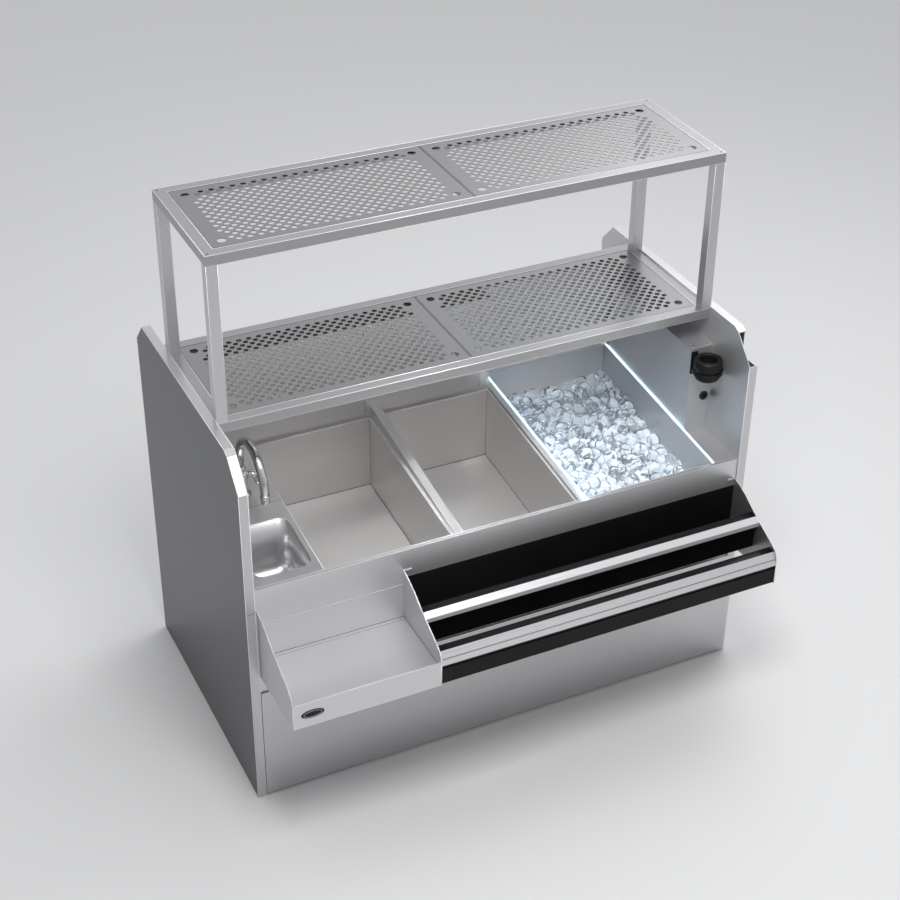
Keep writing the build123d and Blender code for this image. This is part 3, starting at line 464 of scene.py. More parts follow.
NODE_FINISH = {
    "satin_x": "lower_front_panel",
    "tray_steel": "drop_tray front_apron",
    "frame_steel": "lower_shelf_frame top_shelf_frame",
    "satin_y": "sink_deck faucet_deck sink_bowl",
    "bin_steel": "bin_liner divider_bar right_deck chase_cover right_side_panel",
    "satin_z": "left_side_panel right_outer_skin front_posts rear_posts"
    " drop_plate_left drop_plate_right rail_plate_left rail_plate_right",
    "well_steel": "well_left well_right backsplash splash_hems",
    "side_steel": "left_outer_skin",
    "insert_steel": "lower_insert_left lower_insert_right top_insert_left top_insert_right",
    "mill_steel": "base_front_rail base_rear_rail base_cross_rails bottom_panel back_panel false_bottom",
    "bright_strip": "rail_strips rail_hooks",
    "chrome": "levelling_feet sink_drain sink_strainer faucet_body faucet_nut faucet_spout faucet_aerator"
    " faucet_lever chase_screws",
    "rail_black": "upper_trough lower_trough rail_bars",
    "holster_black": "holster_cup holster_bracket",
    "grommet_black": "hose_grommet",
    "badge_black": "front_badge",
    "drain_grey": "well_drains bin_drain",
    "foam_board": "bin_insulation",
    "ice_bed": "ice",
    "rim_glow": "rim_light_left rim_light_right",
}


class STATION_OT_finishes(bpy.types.Operator):
    """Gives every carried-over node of the station its finish."""

    bl_idname = "station.finishes"
    bl_label = "Finishes"

    def execute(self, context):
        looks = finishes()
        for finish, names in NODE_FINISH.items():
            for name in names.split():
                slots = NODES[name].data.materials
                slots.clear()
                slots.append(looks[finish])
        return {"FINISHED"}


# Ice


def cube_shape():
    """A rounded ice cube of unit size: each face of a cube is a 4 by 4 grid pushed towards a sphere,
    point = p / (|x|^3 + |y|^3 + |z|^3)^(1/3), so corners and edges are soft."""
    t = np.linspace(-1, 1, 4)
    u, v = np.meshgrid(t, t, indexing="ij")
    one = np.ones_like(u)
    sides = [(one, u, v), (-one, v, u), (v, one, u), (u, -one, v), (u, v, one), (v, u, -one)]
    points, faces = [], []
    for n, side in enumerate(sides):
        p = np.stack(side, -1).reshape(-1, 3)
        points.append(p / (np.abs(p) ** 3).sum(1, keepdims=True) ** (1 / 3) * 0.5)
        faces.append(grid_faces(4, 4, start=16 * n))
    return np.concatenate(points), np.concatenate(faces)


def turns(count, random):
    """Random rotation matrices from random unit quaternions."""
    q = random.normal(size=(count, 4))
    q /= np.linalg.norm(q, axis=1, keepdims=True)
    w, x, y, z = q.T
    return np.stack(
        [
            1 - 2 * (y * y + z * z), 2 * (x * y - z * w), 2 * (x * z + y * w),
            2 * (x * y + z * w), 1 - 2 * (x * x + z * z), 2 * (y * z - x * w),
            2 * (x * z - y * w), 2 * (y * z + x * w), 1 - 2 * (x * x + y * y),
        ],
        1,
    ).reshape(count, 3, 3)


class STATION_OT_ice(bpy.types.Operator):
    """Fills the bin with loose clear cubes on a bed of packed ice."""

    bl_idname = "station.ice"
    bl_label = "Ice"

    def execute(self, context):
        look = context.scene.ice_settings
        looks = finishes()
        low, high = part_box("ice")
        slope = (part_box("rim_light_left")[1].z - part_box("rim_light_left")[0].z) / (high.y - low.y)
        random = np.random.default_rng(look.seed)
        top_front = high.z - slope * (high.y - low.y) - 4 * MM
        # In cube edges: spacing, margins, sideways shift, drop to the next layer, depth of the top
        # layer below the rim, gap above the bed
        pitch, side_margin, end_margin, wall_margin = 0.93, 0.55, 0.62, 0.6
        shift, layer_drop, sunk_share, bed_clearance = 0.28, 0.72, 0.45, 0.15
        # Height of the top's swell, its waves in radians a metre, and how far a cube is tossed
        swell_height, swell_x, swell_y, toss = 8 * MM, 17, 13, 7 * MM
        # The same for the bed's bumps, then the range of a cube's size and its growth to the rear
        bump_height, bump_x, bump_y = 4 * MM, 180, 160
        smallest, largest, front_size, growth_to_rear = 0.86, 1.04, 0.92, 0.42
        step = look.cube * pitch
        columns = int((high.x - low.x - look.cube) / step) + 1
        rows = int((high.y - low.y - look.cube) / step) + 1
        wall = look.cube * wall_margin
        centres = []
        for layer in range(look.layers):
            x = np.linspace(low.x + look.cube * side_margin, high.x - look.cube * end_margin, columns)
            y = np.linspace(low.y + look.cube * end_margin, high.y - look.cube * end_margin, rows)
            gx, gy = np.meshgrid(x, y, indexing="ij")
            jitter = random.uniform(-shift, shift, (2, *gx.shape)) * look.cube
            gx = np.clip(gx + jitter[0], low.x + wall, high.x - wall)
            gy = np.clip(gy + jitter[1], low.y + wall, high.y - wall)
            swell = swell_height * np.sin(gx * swell_x) * np.cos(gy * swell_y)
            swell += random.uniform(-toss, toss, gx.shape)
            gz = top_front + slope * (gy - low.y) + swell - look.cube * (layer * layer_drop + sunk_share)
            centres.append(np.stack([gx, gy, gz], -1).reshape(-1, 3))
        centres = np.concatenate(centres)
        shape, quads = cube_shape()
        deep = (centres[:, 1] - low.y) / (high.y - low.y)
        size = look.cube * random.uniform(smallest, largest, (len(centres), 1, 3))
        size *= (front_size + growth_to_rear * deep)[:, None, None]
        points = np.einsum("nij,nkj->nki", turns(len(centres), random), shape[None] * size) + centres[:, None]
        faces = quads[None] + (np.arange(len(centres)) * len(shape))[:, None, None]
        mesh = build_mesh("ice_cubes", points.reshape(-1, 3), faces.reshape(-1, 4))
        cubes = link(outwards(mesh), "ice_cubes", looks["clear_ice"])
        cubes.visible_shadow = False
        across, along = 40, 56
        x = np.linspace(low.x, high.x, across)
        y = np.linspace(low.y, high.y, along)
        gx, gy = np.meshgrid(x, y, indexing="ij")
        sunk = look.cube * (layer_drop * look.layers + bed_clearance)
        bumps = bump_height * np.sin(gx * bump_x) * np.cos(gy * bump_y)
        gz = top_front + slope * (gy - low.y) - sunk + bumps
        top = np.stack([gx, gy, gz], -1)
        bottom = top.copy()
        bottom[..., 2] = low.z + slope * (gy - low.y)
        count = top.shape[0] * top.shape[1]
        over = grid_faces(across, along)
        under = over[:, ::-1] + count
        index = np.arange(count).reshape(across, along)
        loop = np.concatenate([index[0, :], index[1:, -1], index[-1, -2::-1], index[-2:0:-1, 0]])
        after = np.roll(loop, -1)
        sides = np.stack([loop, after, after + count, loop + count], 1)
        points = np.concatenate([top.reshape(-1, 3), bottom.reshape(-1, 3)])
        bed = piece("ice_bed_block", (points, np.concatenate([over, under, sides])), looks["ice_bed"])
        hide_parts("ice")
        return {"FINISHED"}


# Sink bowl


def loop_with_corners(width, length, radius, count=24):
    """A rounded rectangle of half sizes width and length, corners as quarter arcs of the radius."""
    quarter = np.linspace(0, np.pi / 2, count)
    centres = [(1, 1), (-1, 1), (-1, -1), (1, -1)]
    out = []
    for k, (sx, sy) in enumerate(centres):
        a = quarter + k * np.pi / 2
        x = sx * (width - radius) + radius * np.cos(a)
        y = sy * (length - radius) + radius * np.sin(a)
        out.append(np.column_stack([x, y]))
    return np.concatenate(out)


class STATION_OT_bowl(bpy.types.Operator):
    """Presses the hand sink's bowl: straight walls that turn into a dished floor through a large radius."""

    bl_idname = "station.bowl"
    bl_label = "Sink bowl"

    def execute(self, context):
        looks = finishes()
        low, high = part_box("sink_bowl")
        deck_low, deck_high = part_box("sink_deck")
        sheet = 1.5 * MM
        slope = (deck_high.z - deck_low.z - sheet) / (deck_high.y - deck_low.y)
        centre = np.array([(low.x + high.x) / 2, (low.y + high.y) / 2])
        half = np.array([(high.x - low.x) / 2 - sheet, (high.y - low.y) / 2 - sheet])
        corner, least_corner, turn, hole = 30 * MM, 8 * MM, 34 * MM, 22.2 * MM
        lip, dish, outer_sheet = 2 * MM, MM, sheet * 0.9
        floor = low.z + sheet
        a = np.linspace(0, np.pi / 2, 10)
        inset = np.concatenate([[0.0, 0.0], turn * (1 - np.cos(a))[1:]])
        rise = np.concatenate([[1.0, 0.0], -turn * np.sin(a)[1:]])
        loops = []
        for k, (draw, fall) in enumerate(zip(inset, rise)):
            loop = loop_with_corners(half[0] - draw, half[1] - draw, max(corner - draw / 2, least_corner))
            plan = loop + centre
            rim = deck_low.z + slope * (plan[:, 1] - deck_low.y)
            z = rim if k == 0 else np.full(len(plan), floor + turn + fall)
            if k == 1:
                z = np.minimum(z, rim - lip)
            loops.append(np.column_stack([plan, z]))
        flat = loops[-1]
        angle = np.arctan2(flat[:, 1] - centre[1], flat[:, 0] - centre[0])
        ring = np.column_stack([centre[0] + hole * np.cos(angle), centre[1] + hole * np.sin(angle)])
        for share in (0.33, 0.66, 1.0):
            plan = flat[:, :2] * (1 - share) + ring * share
            loops.append(np.column_stack([plan, np.full(len(plan), floor - dish * share)]))
        grid = np.stack(loops)
        rows, count = grid.shape[:2]
        inner = grid.reshape(-1, 3)
        centre3 = np.array([*centre, 0.0])
        outward = inner - centre3
        outward[:, 2] = 0
        outward /= np.linalg.norm(outward, axis=1, keepdims=True)
        outer = inner + outward * outer_sheet
        outer[count * 2:, 2] -= outer_sheet
        inner_faces = grid_faces(rows, count, wrap_columns=True)
        outer_faces = inner_faces[:, ::-1] + rows * count
        edge = np.arange(count)
        nxt = np.roll(edge, -1)
        top = np.stack([edge, edge + rows * count, nxt + rows * count, nxt], 1)
        last = (rows - 1) * count
        end = np.stack([edge + last, nxt + last, nxt + last + rows * count, edge + last + rows * count], 1)
        shape = np.concatenate([inner, outer]), np.concatenate([inner_faces, outer_faces, top, end])
        bowl = piece("pressed_bowl", shape, looks["satin_y"])
        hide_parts("sink_bowl")
        # Painted highlight: a bright line round the bowl's rim
        rim_path = np.column_stack([loops[0][:, :2], loops[0][:, 2] + 0.3 * MM])
        rim_path = np.concatenate([rim_path, rim_path[:1]])
        bead = tube(rim_path, 0.9 * MM, 8)
        piece("bowl_rim_bead", bead, looks["bright_edge"])
        return {"FINISHED"}


# Faucet


class STATION_OT_faucet(bpy.types.Operator):
    """Makes the polished gooseneck faucet: stepped body, swan neck with collars, aerator and lever."""

    bl_idname = "station.faucet"
    bl_label = "Faucet"

    def execute(self, context):
        chrome = finishes()["chrome"]
        body_low, body_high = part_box("faucet_body")
        spout_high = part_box("faucet_spout")[1]
        tip_low, tip_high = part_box("faucet_aerator")
        deck_low, deck_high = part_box("faucet_deck")
        sheet, joint, pipe = 1.5 * MM, 0.5 * MM, 11.5 * MM
        x = (body_low.x + body_high.x) / 2
        y = (body_low.y + body_high.y) / 2
        slope = (deck_high.z - deck_low.z - sheet) / (deck_high.y - deck_low.y)
        foot = deck_low.z + sheet + slope * (y - deck_low.y)
        top = body_high.z
        wide, tall = (body_high.x - body_low.x) / 2 / MM, (top - foot) / MM
        column = [
            (0, -3), (wide - 2, -3), (wide, 2), (wide, 6), (wide - 4, 10), (20.5, 13), (18.5, 18),
            (17.8, tall - 14), (19.5, tall - 11), (19.5, tall - 4), (17.5, tall - 0.5), (0, tall - 0.5),
        ]
        body = piece("faucet_column", turned(millimetres(column), (x, y, foot), 56), chrome)
        thread = [(0, -50), (10.4, -50), (10.4, -2), (0, -2)]
        shank = piece("faucet_shank", turned(millimetres(thread), (x, y, foot), 32), chrome)
        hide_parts("faucet_body")
        nozzle_y = (tip_low.y + tip_high.y) / 2
        arch = (y - nozzle_y) / 2
        arch_z = spout_high.z - pipe - arch
        up = np.linspace(top + joint, arch_z, 8, endpoint=False)
        angle = np.linspace(0, np.pi, 40)
        down = np.linspace(arch_z, tip_high.z - 6 * MM, 5)[1:]
        rise = np.column_stack([np.full(len(up), x), np.full(len(up), y), up])
        bow_y, bow_z = y - arch + arch * np.cos(angle), arch_z + arch * np.sin(angle)
        bow = np.column_stack([np.full(len(angle), x), bow_y, bow_z])
        drop = np.column_stack([np.full(len(down), x), np.full(len(down), nozzle_y), down])
        neck = tube(np.concatenate([rise, bow, drop]), pipe, 32)
        bore = pipe / MM - 0.2
        ring = [(0, 0), (14.2, 0), (14.5, 2), (14.5, 12), (12.8, 15.5), (bore, 16.5), (0, 16.5)]
        collar = turned(millimetres(ring), (x, y, top + 0.6 * MM), 40)
        aerator = [
            (0, 4), (8.5, 4), (9, 0), (11.2, 0), (12, 2), (12, 11), (10.8, 12.5), (10.8, 14), (13.2, 15.5),
            (13.4, 22.5), (12.2, 25), (bore, 26.2), (0, 26.2),
        ]
        tip = turned(millimetres(aerator), (x, nozzle_y, tip_low.z), 40)
        spout = piece("faucet_swan_neck", joined([neck, collar, tip]), chrome, "spout")
        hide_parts("faucet_spout", "faucet_aerator")
        lever_low, lever_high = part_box("faucet_lever")
        hub_z = (lever_low.z + lever_high.z) / 2
        hub_x = lever_low.x
        length = (lever_high.x - lever_low.x) / MM
        knob = [
            (0, 0), (10.5, 0), (10.5, 3), (12.8, 4.5), (12.8, length - 5), (10.5, length - 0.8), (0, length),
        ]
        hub_points, hub_faces = turned(millimetres(knob), (0, 0, 0), 40)
        hub = np.column_stack([hub_points[:, 2] + hub_x, hub_points[:, 0] + y, hub_points[:, 1] + hub_z])
        tail = np.linspace(0, 1, 16)
        root, tip_gap = 6 * MM, MM
        stem = np.column_stack(
            [
                np.full(len(tail), hub_x + length * MM / 2),
                y - root - tail * (y - root - lever_low.y - tip_gap),
                np.full(len(tail), hub_z),
            ]
        )
        swell = 4.2 * MM + 1.4 * MM * tail**2
        swell[-1] = 2.5 * MM
        handle = piece("faucet_handle", joined([(hub, hub_faces), tube(stem, swell, 20)]), chrome, "lever")
        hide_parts("faucet_lever")
        return {"FINISHED"}


# Holster


class STATION_OT_holster(bpy.types.Operator):
    """Moulds the black soda-gun holster cup: a deep cup under a thick collar with a ringed mouth."""

    bl_idname = "station.holster"
    bl_label = "Holster cup"

    def execute(self, context):
        look = finishes()["holster_black"]
        low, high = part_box("holster_cup")
        centre = ((low.x + high.x) / 2, (low.y + high.y) / 2, low.z)
        h, r = (high.z - low.z) / MM, (high.x - low.x) / 2 / MM
        body, bore = 37, 25
        profile = [
            (0, 0), (body - 12, 0), (body - 4, 3), (body - 0.5, 10), (body, h * 0.46), (r - 1, h * 0.51),
            (r, h * 0.55), (r, h - 6), (r - 2, h - 1), (r - 5, h), (bore + 9, h), (bore + 7.5, h - 2.5),
            (bore + 4, h - 2.5), (bore + 2.5, h - 0.5), (bore + 0.8, h - 1), (bore, h - 4), (bore, 8), (0, 6),
        ]
        cup = piece("holster_cup_moulding", turned(millimetres(profile), centre, 72), look, "holster_cup")
        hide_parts("holster_cup")
        return {"FINISHED"}


# Guard bars of the bottle rail


class STATION_OT_bars(bpy.types.Operator):
    """Rolls the two black guard bars of the bottle rail, with soft corners."""

    bl_idname = "station.bars"
    bl_label = "Guard bars"

    def execute(self, context):
        looks = finishes()
        low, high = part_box("rail_bars")
        gap, tier_drop, soft = 0.2 * MM, 58 * MM, 4 * MM
        start, end = low.x + gap, high.x - gap
        upper_edge = np.array([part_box("upper_trough")[0].y, high.z])
        lower_nose = np.array([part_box("rail_strips")[0].y, high.z - tier_drop])
        upper = [(26, 0), (0, 0), (-15.5, -12), (-15.5, -24), (26, -24)]
        lower = [(43, 0), (17, 0), (1.5, -35), (1.5, -47), (43, -47)]
        upper = rounded_profile(upper_edge + millimetres(upper), soft)
        lower = rounded_profile(lower_nose + millimetres(lower), soft)
        shapes = [carried(upper, start, end, 24), carried(lower, start, end, 24)]
        bars = piece("guard_bars", joined(shapes), looks["rail_black"])
        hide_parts("rail_bars")
        return {"FINISHED"}


# Painted highlights along folded edges


def edge_line(points, radius=0.9 * MM, sides=6):
    """A thin tube along straight runs between points; it draws the painted highlights along edges and the
    dark lines.
    """
    points = np.asarray(points, float)
    shapes = []
    for a, b in zip(points[:-1], points[1:]):
        along = (b - a) / np.linalg.norm(b - a)
        side = np.cross(along, [0.3, 0.5, 0.8])
        side /= np.linalg.norm(side)
        up = np.cross(along, side)
        angle = np.linspace(0, 2 * np.pi, sides, endpoint=False)
        ring = radius * (np.cos(angle)[:, None] * side + np.sin(angle)[:, None] * up)
        verts = np.concatenate([a + ring, b + ring])
        faces = [tuple(f) for f in grid_faces(2, sides, wrap_columns=True)]
        faces += [tuple(range(sides))[::-1], tuple(range(sides, 2 * sides))]
        shapes.append((verts, faces))
    return joined(shapes)


class STATION_OT_edges(bpy.types.Operator):
    """Lays painted highlights where folded edges catch the light along panels, shelves, apron and rail
    plates.
    """

    bl_idname = "station.edges"
    bl_label = "Bright edges"

    def execute(self, context):
        looks = finishes()
        draw = 0.4 * MM
        groups = {}
        skin_low, skin_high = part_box("left_outer_skin")
        inner_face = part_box("left_side_panel")[1].x
        front, back, top = skin_low.y + draw, skin_high.y - draw, skin_high.z - draw
        foot, knee, shoulder, rear_shoulder = 3 * MM, 1000 * MM, 1075 * MM, 1022 * MM
        slant_run, top_start, rear_cut = 68 * MM, 90 * MM, 60 * MM
        outline = [
            (front, foot), (front, knee), (skin_low.y + slant_run, shoulder), (skin_low.y + top_start, top),
            (skin_high.y - rear_cut, top), (back, rear_shoulder), (back, foot),
        ]
        for name, x in (
            ("left_panel_edges", (skin_low.x + draw, inner_face - draw)),
            ("right_panel_edges", (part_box("right_side_panel")[0].x + draw,)),
        ):
            groups[name] = joined([edge_line([(v, y, z) for y, z in outline]) for v in x])
        for name in ("lower_shelf_frame", "top_shelf_frame"):
            low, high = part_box(name)
            z = high.z - draw
            x0, x1, y0, y1 = low.x + draw, high.x - draw, low.y + draw, high.y - draw
            shapes = [edge_line([(x0, y0, z), (x1, y0, z), (x1, y1, z), (x0, y1, z), (x0, y0, z)])]
            front_low = [(low.x, low.y + draw, low.z + draw), (high.x, low.y + draw, low.z + draw)]
            shapes.append(edge_line(front_low, 0.6 * MM))
            groups[name.replace("frame", "edges")] = joined(shapes)
        apron_low, apron_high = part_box("front_apron")
        z = apron_high.z - draw
        groups["apron_edge"] = joined(
            [
                edge_line([(apron_low.x, y, z), (apron_high.x, y, z)], radius)
                for y, radius in ((apron_low.y + draw, 0.8 * MM), (apron_high.y - draw, MM))
            ]
        )
        # The swept top edge of an end plate, as shares of its reach forwards and of its height
        outs = (0.0, 0.128, 0.256, 0.513, 0.876, 0.960, 0.991, 1.0, 1.0)
        ups = (1.0, 0.964, 0.905, 0.744, 0.559, 0.500, 0.431, 0.357, 0.037)
        for node in ("drop_plate_left", "drop_plate_right", "rail_plate_left", "rail_plate_right"):
            low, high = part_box(node)
            reach, tall = high.y - low.y, high.z - low.z
            x = (low.x + high.x) / 2
            rear, foot = high.y + draw / 2, low.z - draw / 2
            sweep = [(x, rear - reach * out, foot + tall * up) for out, up in zip(outs, ups)]
            groups[node + "_edge"] = edge_line(sweep, 0.8 * MM)
        low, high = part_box("drop_tray")
        y, lip_top = low.y + draw, 502 * MM - draw
        groups["drop_lip_edge"] = joined(
            [
                edge_line([(low.x, y, lip_top), (high.x, y, lip_top)], 0.9 * MM),
                edge_line([(low.x, y, low.z + draw), (high.x, y, low.z + draw)], 0.7 * MM),
            ]
        )
        for name, shape in groups.items():
            made = piece(name, shape, looks["bright_edge"])
        return {"FINISHED"}


# Dark joints, painted highlights and painted shade, and small fittings


def work_top(y):
    """Height of the pitched work top at y, read from the left rim light that lies on it."""
    low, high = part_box("rim_light_left")
    light = 2.5 * MM
    return low.z + (high.z - light - low.z) / (high.y - low.y) * (y - low.y)


def sloped(points, drop):
    """Plan points laid at a drop below the pitched work top."""
    return [(x, y, work_top(y) - drop) for x, y in points]


class STATION_OT_wells(bpy.types.Operator):
    """Lays painted highlights round the wells' mouths and painted shade along their folded corners and the
    bin's rear corners, with a dark line on the faucet deck's front and dark joints in the backsplash.
    """

    bl_idname = "station.wells"
    bl_label = "Well beads and seams"

    def execute(self, context):
        looks = finishes()
        sheet, strip, rise, depth = 1.5 * MM, 9 * MM, 1.4 * MM, 228 * MM
        strip_drop, joint_inset, hem = rise + 4 * MM, 20 * MM, 30 * MM
        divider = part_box("divider_bar")
        ends = {
            "well_left": (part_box("well_left")[0].x + sheet, divider[0].x - strip - sheet),
            "well_right": (divider[1].x + sheet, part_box("well_right")[1].x - strip - sheet),
        }
        for name, (start, end) in ends.items():
            low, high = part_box(name)
            front, rear, outer, back = low.y + sheet, high.y - strip - sheet, end + strip, high.y - MM
            # Painted highlights: bright lines round the well's mouth and along its strips
            beads = [
                edge_line(sloped([(start, front), (start, rear), (end, rear), (end, front)], rise), 0.9 * MM),
                edge_line(sloped([(outer, front), (outer, back)], strip_drop), 0.6 * MM),
                edge_line(sloped([(start, back), (outer, back)], strip_drop), 0.6 * MM),
            ]
            made = piece(name + "_beads", joined(beads), looks["bright_edge"])
            # Painted shade: dark lines along the well floor's edges and down its rear corners
            floor = [(start, front), (start, rear), (end, rear), (end, front)]
            joint_and_shade_lines = [edge_line(sloped(floor, depth - 0.5 * MM), 0.8 * MM)]
            for x, y in ((start, rear), (end, rear)):
                joint_and_shade_lines.append(edge_line([(x, y, work_top(y) - 3 * MM), (x, y, work_top(y) - depth)], 0.6 * MM))
            made = piece(name + "_seams", joined(joint_and_shade_lines), looks["seam_dark"])
        low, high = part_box("bin_liner")
        light, rear = 5 * MM, high.y - 2 * MM
        # Painted shade: dark lines down the bin's rear corners; then a dark line along the faucet deck's
        # front foot and dark joints in the backsplash
        joint_and_shade_lines = []
        for x in (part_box("rim_light_left")[1].x + light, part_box("rim_light_right")[0].x - light):
            joint_and_shade_lines.append(edge_line([(x, rear, high.z - light), (x, rear, high.z - depth)], 0.7 * MM))
        low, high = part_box("faucet_deck")
        joint_and_shade_lines.append(edge_line([(low.x, low.y, low.z + MM), (high.x, low.y, low.z + MM)], 0.8 * MM))
        low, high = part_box("backsplash")
        for edge in (divider[0].x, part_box("splash_hems")[1].x):
            x = edge - joint_inset
            joint_and_shade_lines.append(edge_line([(x, low.y, low.z + hem), (x, low.y, high.z)], 0.6 * MM))
        piece("bin_and_deck_seams", joined(joint_and_shade_lines), looks["seam_dark"])
        return {"FINISHED"}


class STATION_OT_details(bpy.types.Operator):
    """Adds the frames' screws, painted highlights round the shelf inserts and along the posts,
    painted shade along the inserts' and the tray's folds, and the badge's rim.
    """

    bl_idname = "station.details"
    bl_label = "Small details"

    def execute(self, context):
        looks = finishes()
        draw = 0.4 * MM
        screw = millimetres([(0, 0), (2.6, 0), (2.6, 0.5), (2, 0.8), (0, 0.8)])
        tube_width = 30 * MM
        for shelf in ("lower", "top"):
            low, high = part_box(shelf + "_shelf_frame")
            z = high.z
            inset = tube_width / 3
            heads = [
                turned(screw, (x, y, z - 0.3 * MM), 20)
                for x in (low.x + inset, high.x - inset)
                for y in (low.y + inset, high.y - inset)
            ]
            piece(shelf + "_frame_screws", joined(heads), looks["seam_dark"])
            # Painted highlight: a bright line round the frame's opening
            corners = [(low.x + tube_width, low.y + tube_width), (high.x - tube_width, high.y - tube_width)]
            (x0, y0), (x1, y1) = corners
            loop = [(x0, y0, z), (x1, y0, z), (x1, y1, z), (x0, y1, z), (x0, y0, z)]
            made = piece(shelf + "_frame_border", edge_line(loop, 0.9 * MM), looks["bright_edge"])
            for side in ("left", "right"):
                body = f"{shelf}_insert_{side}"
                low_i, high_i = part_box(body)
                inset = 2.2 * MM
                x0, x1, y0, y1 = low_i.x + inset, high_i.x - inset, low_i.y + inset, high_i.y - inset
                loop = [(x0, y0, z), (x1, y0, z), (x1, y1, z), (x0, y1, z), (x0, y0, z)]
                # Painted shade: a dark line along the insert's fold
                made = piece(body + "_fold", edge_line(loop, 0.5 * MM), looks["seam_dark"], body)
        # Painted highlights along the posts' edges
        posts = []
        for name in ("front_posts", "rear_posts"):
            low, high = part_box(name)
            left, right, y = low.x + tube_width, high.x - tube_width, low.y + draw
            for x in (low.x + draw, left - draw, right + draw, high.x - draw):
                posts.append(edge_line([(x, y, low.z), (x, y, high.z)], 0.7 * MM))
        piece("post_edges", joined(posts), looks["bright_edge"])
        low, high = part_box("drop_tray")
        floor, back, fold = 483 * MM, high.y - 1.5 * MM, 12 * MM
        # Painted shade: dark lines along the drop tray's folds between floor, back and side
        joint_and_shade_lines = [
            edge_line([(low.x, back, floor), (high.x, back, floor)], 0.9 * MM),
            edge_line([(low.x, back - fold, floor), (high.x, back - fold, floor)], 0.4 * MM),
            edge_line([(high.x, back, floor), (high.x, low.y, floor)], 0.6 * MM),
            edge_line([(high.x - fold, back, floor), (high.x - fold, back - fold, floor)], 0.5 * MM),
        ]
        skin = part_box("left_side_panel")
        joint_outer, joint_inner = 631 * MM, 636 * MM
        joint = [(skin[0].x, skin[0].y, joint_outer), (skin[1].x, skin[0].y, joint_inner)]
        joint_and_shade_lines.append(edge_line(joint, 0.6 * MM))
        strip_low, strip_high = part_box("rail_strips")
        groove_share, slope_run, slope_fall, tier_drop = 0.62, 17 * MM, 33.5 * MM, 58 * MM
        top = strip_high.z - tier_drop
        y = strip_low.y + slope_run * (1 - groove_share)
        z = top - slope_fall * groove_share
        joint_and_shade_lines.append(edge_line([(strip_low.x, y, z), (strip_high.x, y, z)], 0.9 * MM))
        piece("fold_seams", joined(joint_and_shade_lines), looks["seam_dark"])
        low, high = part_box("front_badge")
        angle = np.linspace(0, 2 * np.pi, 49)
        wide_share, tall_share, proud = 0.8, 0.74, 0.1 * MM
        wide, tall = (high.x - low.x) / 2 * wide_share, (high.z - low.z) / 2 * tall_share
        path = np.column_stack(
            [
                (low.x + high.x) / 2 + wide * np.cos(angle),
                np.full(len(angle), low.y + proud),
                (low.z + high.z) / 2 + tall * np.sin(angle),
            ]
        )
        piece("badge_ring", tube(path, 0.5 * MM, 8), looks["bright_strip"])
        return {"FINISHED"}


# Stage


# The side that the studio's light comes from, its level away from and towards that side, and the
# cosine to that side at which the level starts to rise
BRIGHT_SIDE = (0.45, 0.35, 0.82)
DIM_LEVEL, BRIGHT_LEVEL, RISE_COSINE = 0.30, 0.92, -0.5

# Name, place, point aimed at, size, power and spread in degrees
SOFTBOXES = (
    ("key_softbox", (1.9, 1.2, 3.7), (0.1, 0.0, 0.8), 2.2, 42, 180),
    ("top_softbox", (-0.5, -1.45, 3.5), (-0.1, -0.2, 0.6), 1.0, 54, 180),
    ("bin_softbox", (0.35, -1.35, 2.9), (0.45, 0.1, 0.75), 0.7, 3, 180),
    ("bin_back_softbox", (0.1, -1.7, 2.2), (0.40, 0.27, 0.70), 0.3, 0.38, 15),
    ("well_softbox", (-0.16, -0.75, 2.8), (-0.14, -0.06, 0.45), 0.3, 1.0, 21),
)

# Name, side that it leans to and power of the lamp under each of the bin's rim lights, and for both
# the width, the place off and below the light, and the lean against the fall of the beam
RIM_LAMPS = (("rim_lamp_left", 0.5, 0.21), ("rim_lamp_right", -0.5, 0.03))
RIM_WIDTH, RIM_OFF, RIM_BELOW, RIM_LEAN, RIM_FALL = 12 * MM, 24 * MM, 12 * MM, 0.4, 0.9

# The photograph's camera: its place, the direction to its right and the one it looks along
CAMERA_PLACE = (-1.83106, -3.68880, 3.47007)
CAMERA_RIGHT = (0.90231, -0.43097, 0.00991)
CAMERA_AHEAD = (0.36481, 0.75114, -0.55019)
FOCAL_PIXELS, FRAME_PIXELS, SENSOR = 1777.03, 900, 36.0


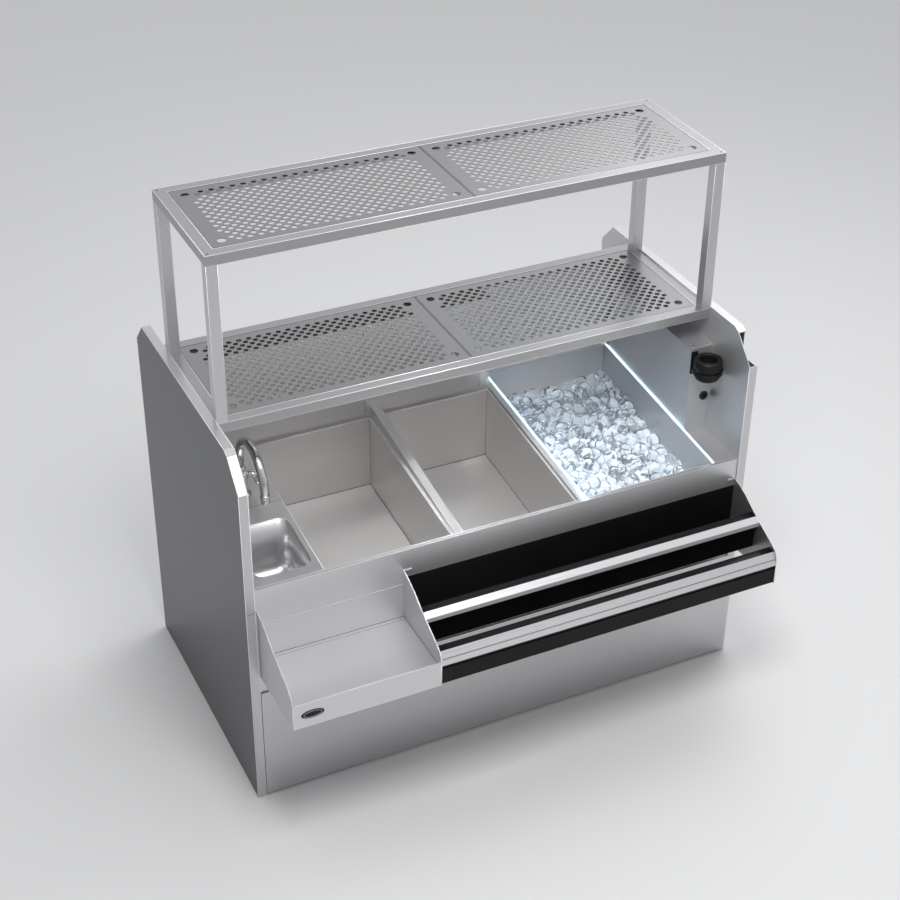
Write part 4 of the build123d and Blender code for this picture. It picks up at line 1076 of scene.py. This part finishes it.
class STATION_OT_stage(bpy.types.Operator):
    """Sets a pale floor, soft studio lamps and a camera at the photograph's angle."""

    bl_idname = "station.stage"
    bl_label = "Stage"

    def execute(self, context):
        scene = context.scene
        far = 30.0
        corners = [(-far, -far, 0), (far, -far, 0), (far, far, 0), (-far, far, 0)]
        floor_mesh = build_mesh("floor", corners, [(0, 1, 2, 3)])
        floor = bpy.data.objects.new("floor", floor_mesh)
        scene.collection.objects.link(floor)
        material, _, _, shader = new_material("pale_floor")
        shader.inputs["Base Color"].default_value = (0.67, 0.67, 0.67, 1)
        shader.inputs["Roughness"].default_value = 0.7
        floor_mesh.materials.append(material)
        world = bpy.data.worlds.new("studio")
        scene.world = world
        world.use_nodes = True
        tree = world.node_tree
        tree.nodes.clear()
        output = tree.nodes.new("ShaderNodeOutputWorld")
        lit = tree.nodes.new("ShaderNodeBackground")
        lit.inputs["Color"].default_value = (0.97, 0.98, 1.0, 1)
        place = tree.nodes.new("ShaderNodeTexCoord")
        along = tree.nodes.new("ShaderNodeVectorMath")
        along.operation = "DOT_PRODUCT"
        along.inputs[1].default_value = BRIGHT_SIDE
        level = tree.nodes.new("ShaderNodeMapRange")
        level.inputs["From Min"].default_value = RISE_COSINE
        level.inputs["To Min"].default_value = DIM_LEVEL
        level.inputs["To Max"].default_value = BRIGHT_LEVEL
        tree.links.new(place.outputs["Generated"], along.inputs[0])
        tree.links.new(along.outputs["Value"], level.inputs["Value"])
        tree.links.new(level.outputs["Result"], lit.inputs["Strength"])
        tree.links.new(lit.outputs[0], output.inputs[0])
        for name, place, aim, size, power, spread in SOFTBOXES:
            data = bpy.data.lights.new(name, "AREA")
            data.shape = "SQUARE"
            data.size = size
            data.energy = power
            data.spread = math.radians(spread)
            lamp = bpy.data.objects.new(name, data)
            lamp.location = place
            lamp.rotation_mode = "QUATERNION"
            lamp.rotation_quaternion = (Vector(aim) - Vector(place)).to_track_quat("-Z", "Y")
            scene.collection.objects.link(lamp)
        for name, side, power in RIM_LAMPS:
            low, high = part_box(name.replace("lamp", "light"))
            data = bpy.data.lights.new(name, "AREA")
            data.shape = "RECTANGLE"
            data.size, data.size_y = high.y - low.y, RIM_WIDTH
            data.energy = power
            data.color = context.scene.station_finish.glow
            lamp = bpy.data.objects.new(name, data)
            aim = Vector((side * RIM_LEAN, 0.0, -RIM_FALL)).normalized()
            lamp.location = (low + high) / 2 + Vector((side * RIM_OFF, 0.0, -RIM_BELOW))
            turn = Matrix((Vector((0, 1, 0)), aim.cross(Vector((0, 1, 0))) * -1, -aim)).transposed()
            lamp.rotation_mode = "QUATERNION"
            lamp.rotation_quaternion = turn.to_quaternion()
            scene.collection.objects.link(lamp)
        camera_data = bpy.data.cameras.new("camera")
        camera = bpy.data.objects.new("camera", camera_data)
        scene.collection.objects.link(camera)
        camera_data.sensor_width = SENSOR
        camera_data.lens = FOCAL_PIXELS / FRAME_PIXELS * SENSOR
        right = Vector(CAMERA_RIGHT).normalized()
        ahead = Vector(CAMERA_AHEAD).normalized()
        up = right.cross(ahead).normalized()
        turn = Matrix((right, up, -ahead)).transposed().to_4x4()
        camera.matrix_world = Matrix.Translation(CAMERA_PLACE) @ turn
        camera_data.clip_end = 100
        scene.camera = camera
        scene.view_settings.view_transform = "Standard"
        return {"FINISHED"}


class STATION_PT_panel(bpy.types.Panel):
    """Lists the station's operators and its settings."""

    bl_label = "Bar station"
    bl_idname = "STATION_PT_panel"
    bl_space_type = "VIEW_3D"
    bl_region_type = "UI"
    bl_category = "Bar station"

    def draw(self, context):
        for operator in OPERATORS:
            self.layout.operator(operator.bl_idname)
        for settings in (context.scene.station_finish, context.scene.ice_settings):
            for key in settings.__annotations__:
                self.layout.prop(settings, key)


OPERATORS = (
    STATION_OT_stage,
    STATION_OT_finishes,
    STATION_OT_ice,
    STATION_OT_bowl,
    STATION_OT_faucet,
    STATION_OT_holster,
    STATION_OT_bars,
    STATION_OT_edges,
    STATION_OT_wells,
    STATION_OT_details,
)
CLASSES = (StationFinish, IceSettings, *OPERATORS, STATION_PT_panel)


def register():
    """Registers the classes and hangs the settings on the scene."""
    for kind in CLASSES:
        bpy.utils.register_class(kind)
    bpy.types.Scene.station_finish = bpy.props.PointerProperty(type=StationFinish)
    bpy.types.Scene.ice_settings = bpy.props.PointerProperty(type=IceSettings)


def unregister():
    """Takes the settings and classes away again."""
    del bpy.types.Scene.ice_settings
    del bpy.types.Scene.station_finish
    for kind in reversed(CLASSES):
        bpy.utils.unregister_class(kind)


def main():
    """Makes the stage and every piece in order."""
    register()
    for operator in OPERATORS:
        family, verb = operator.bl_idname.split(".")
        getattr(getattr(bpy.ops, family), verb)()


if __name__ == "__main__":
    main()
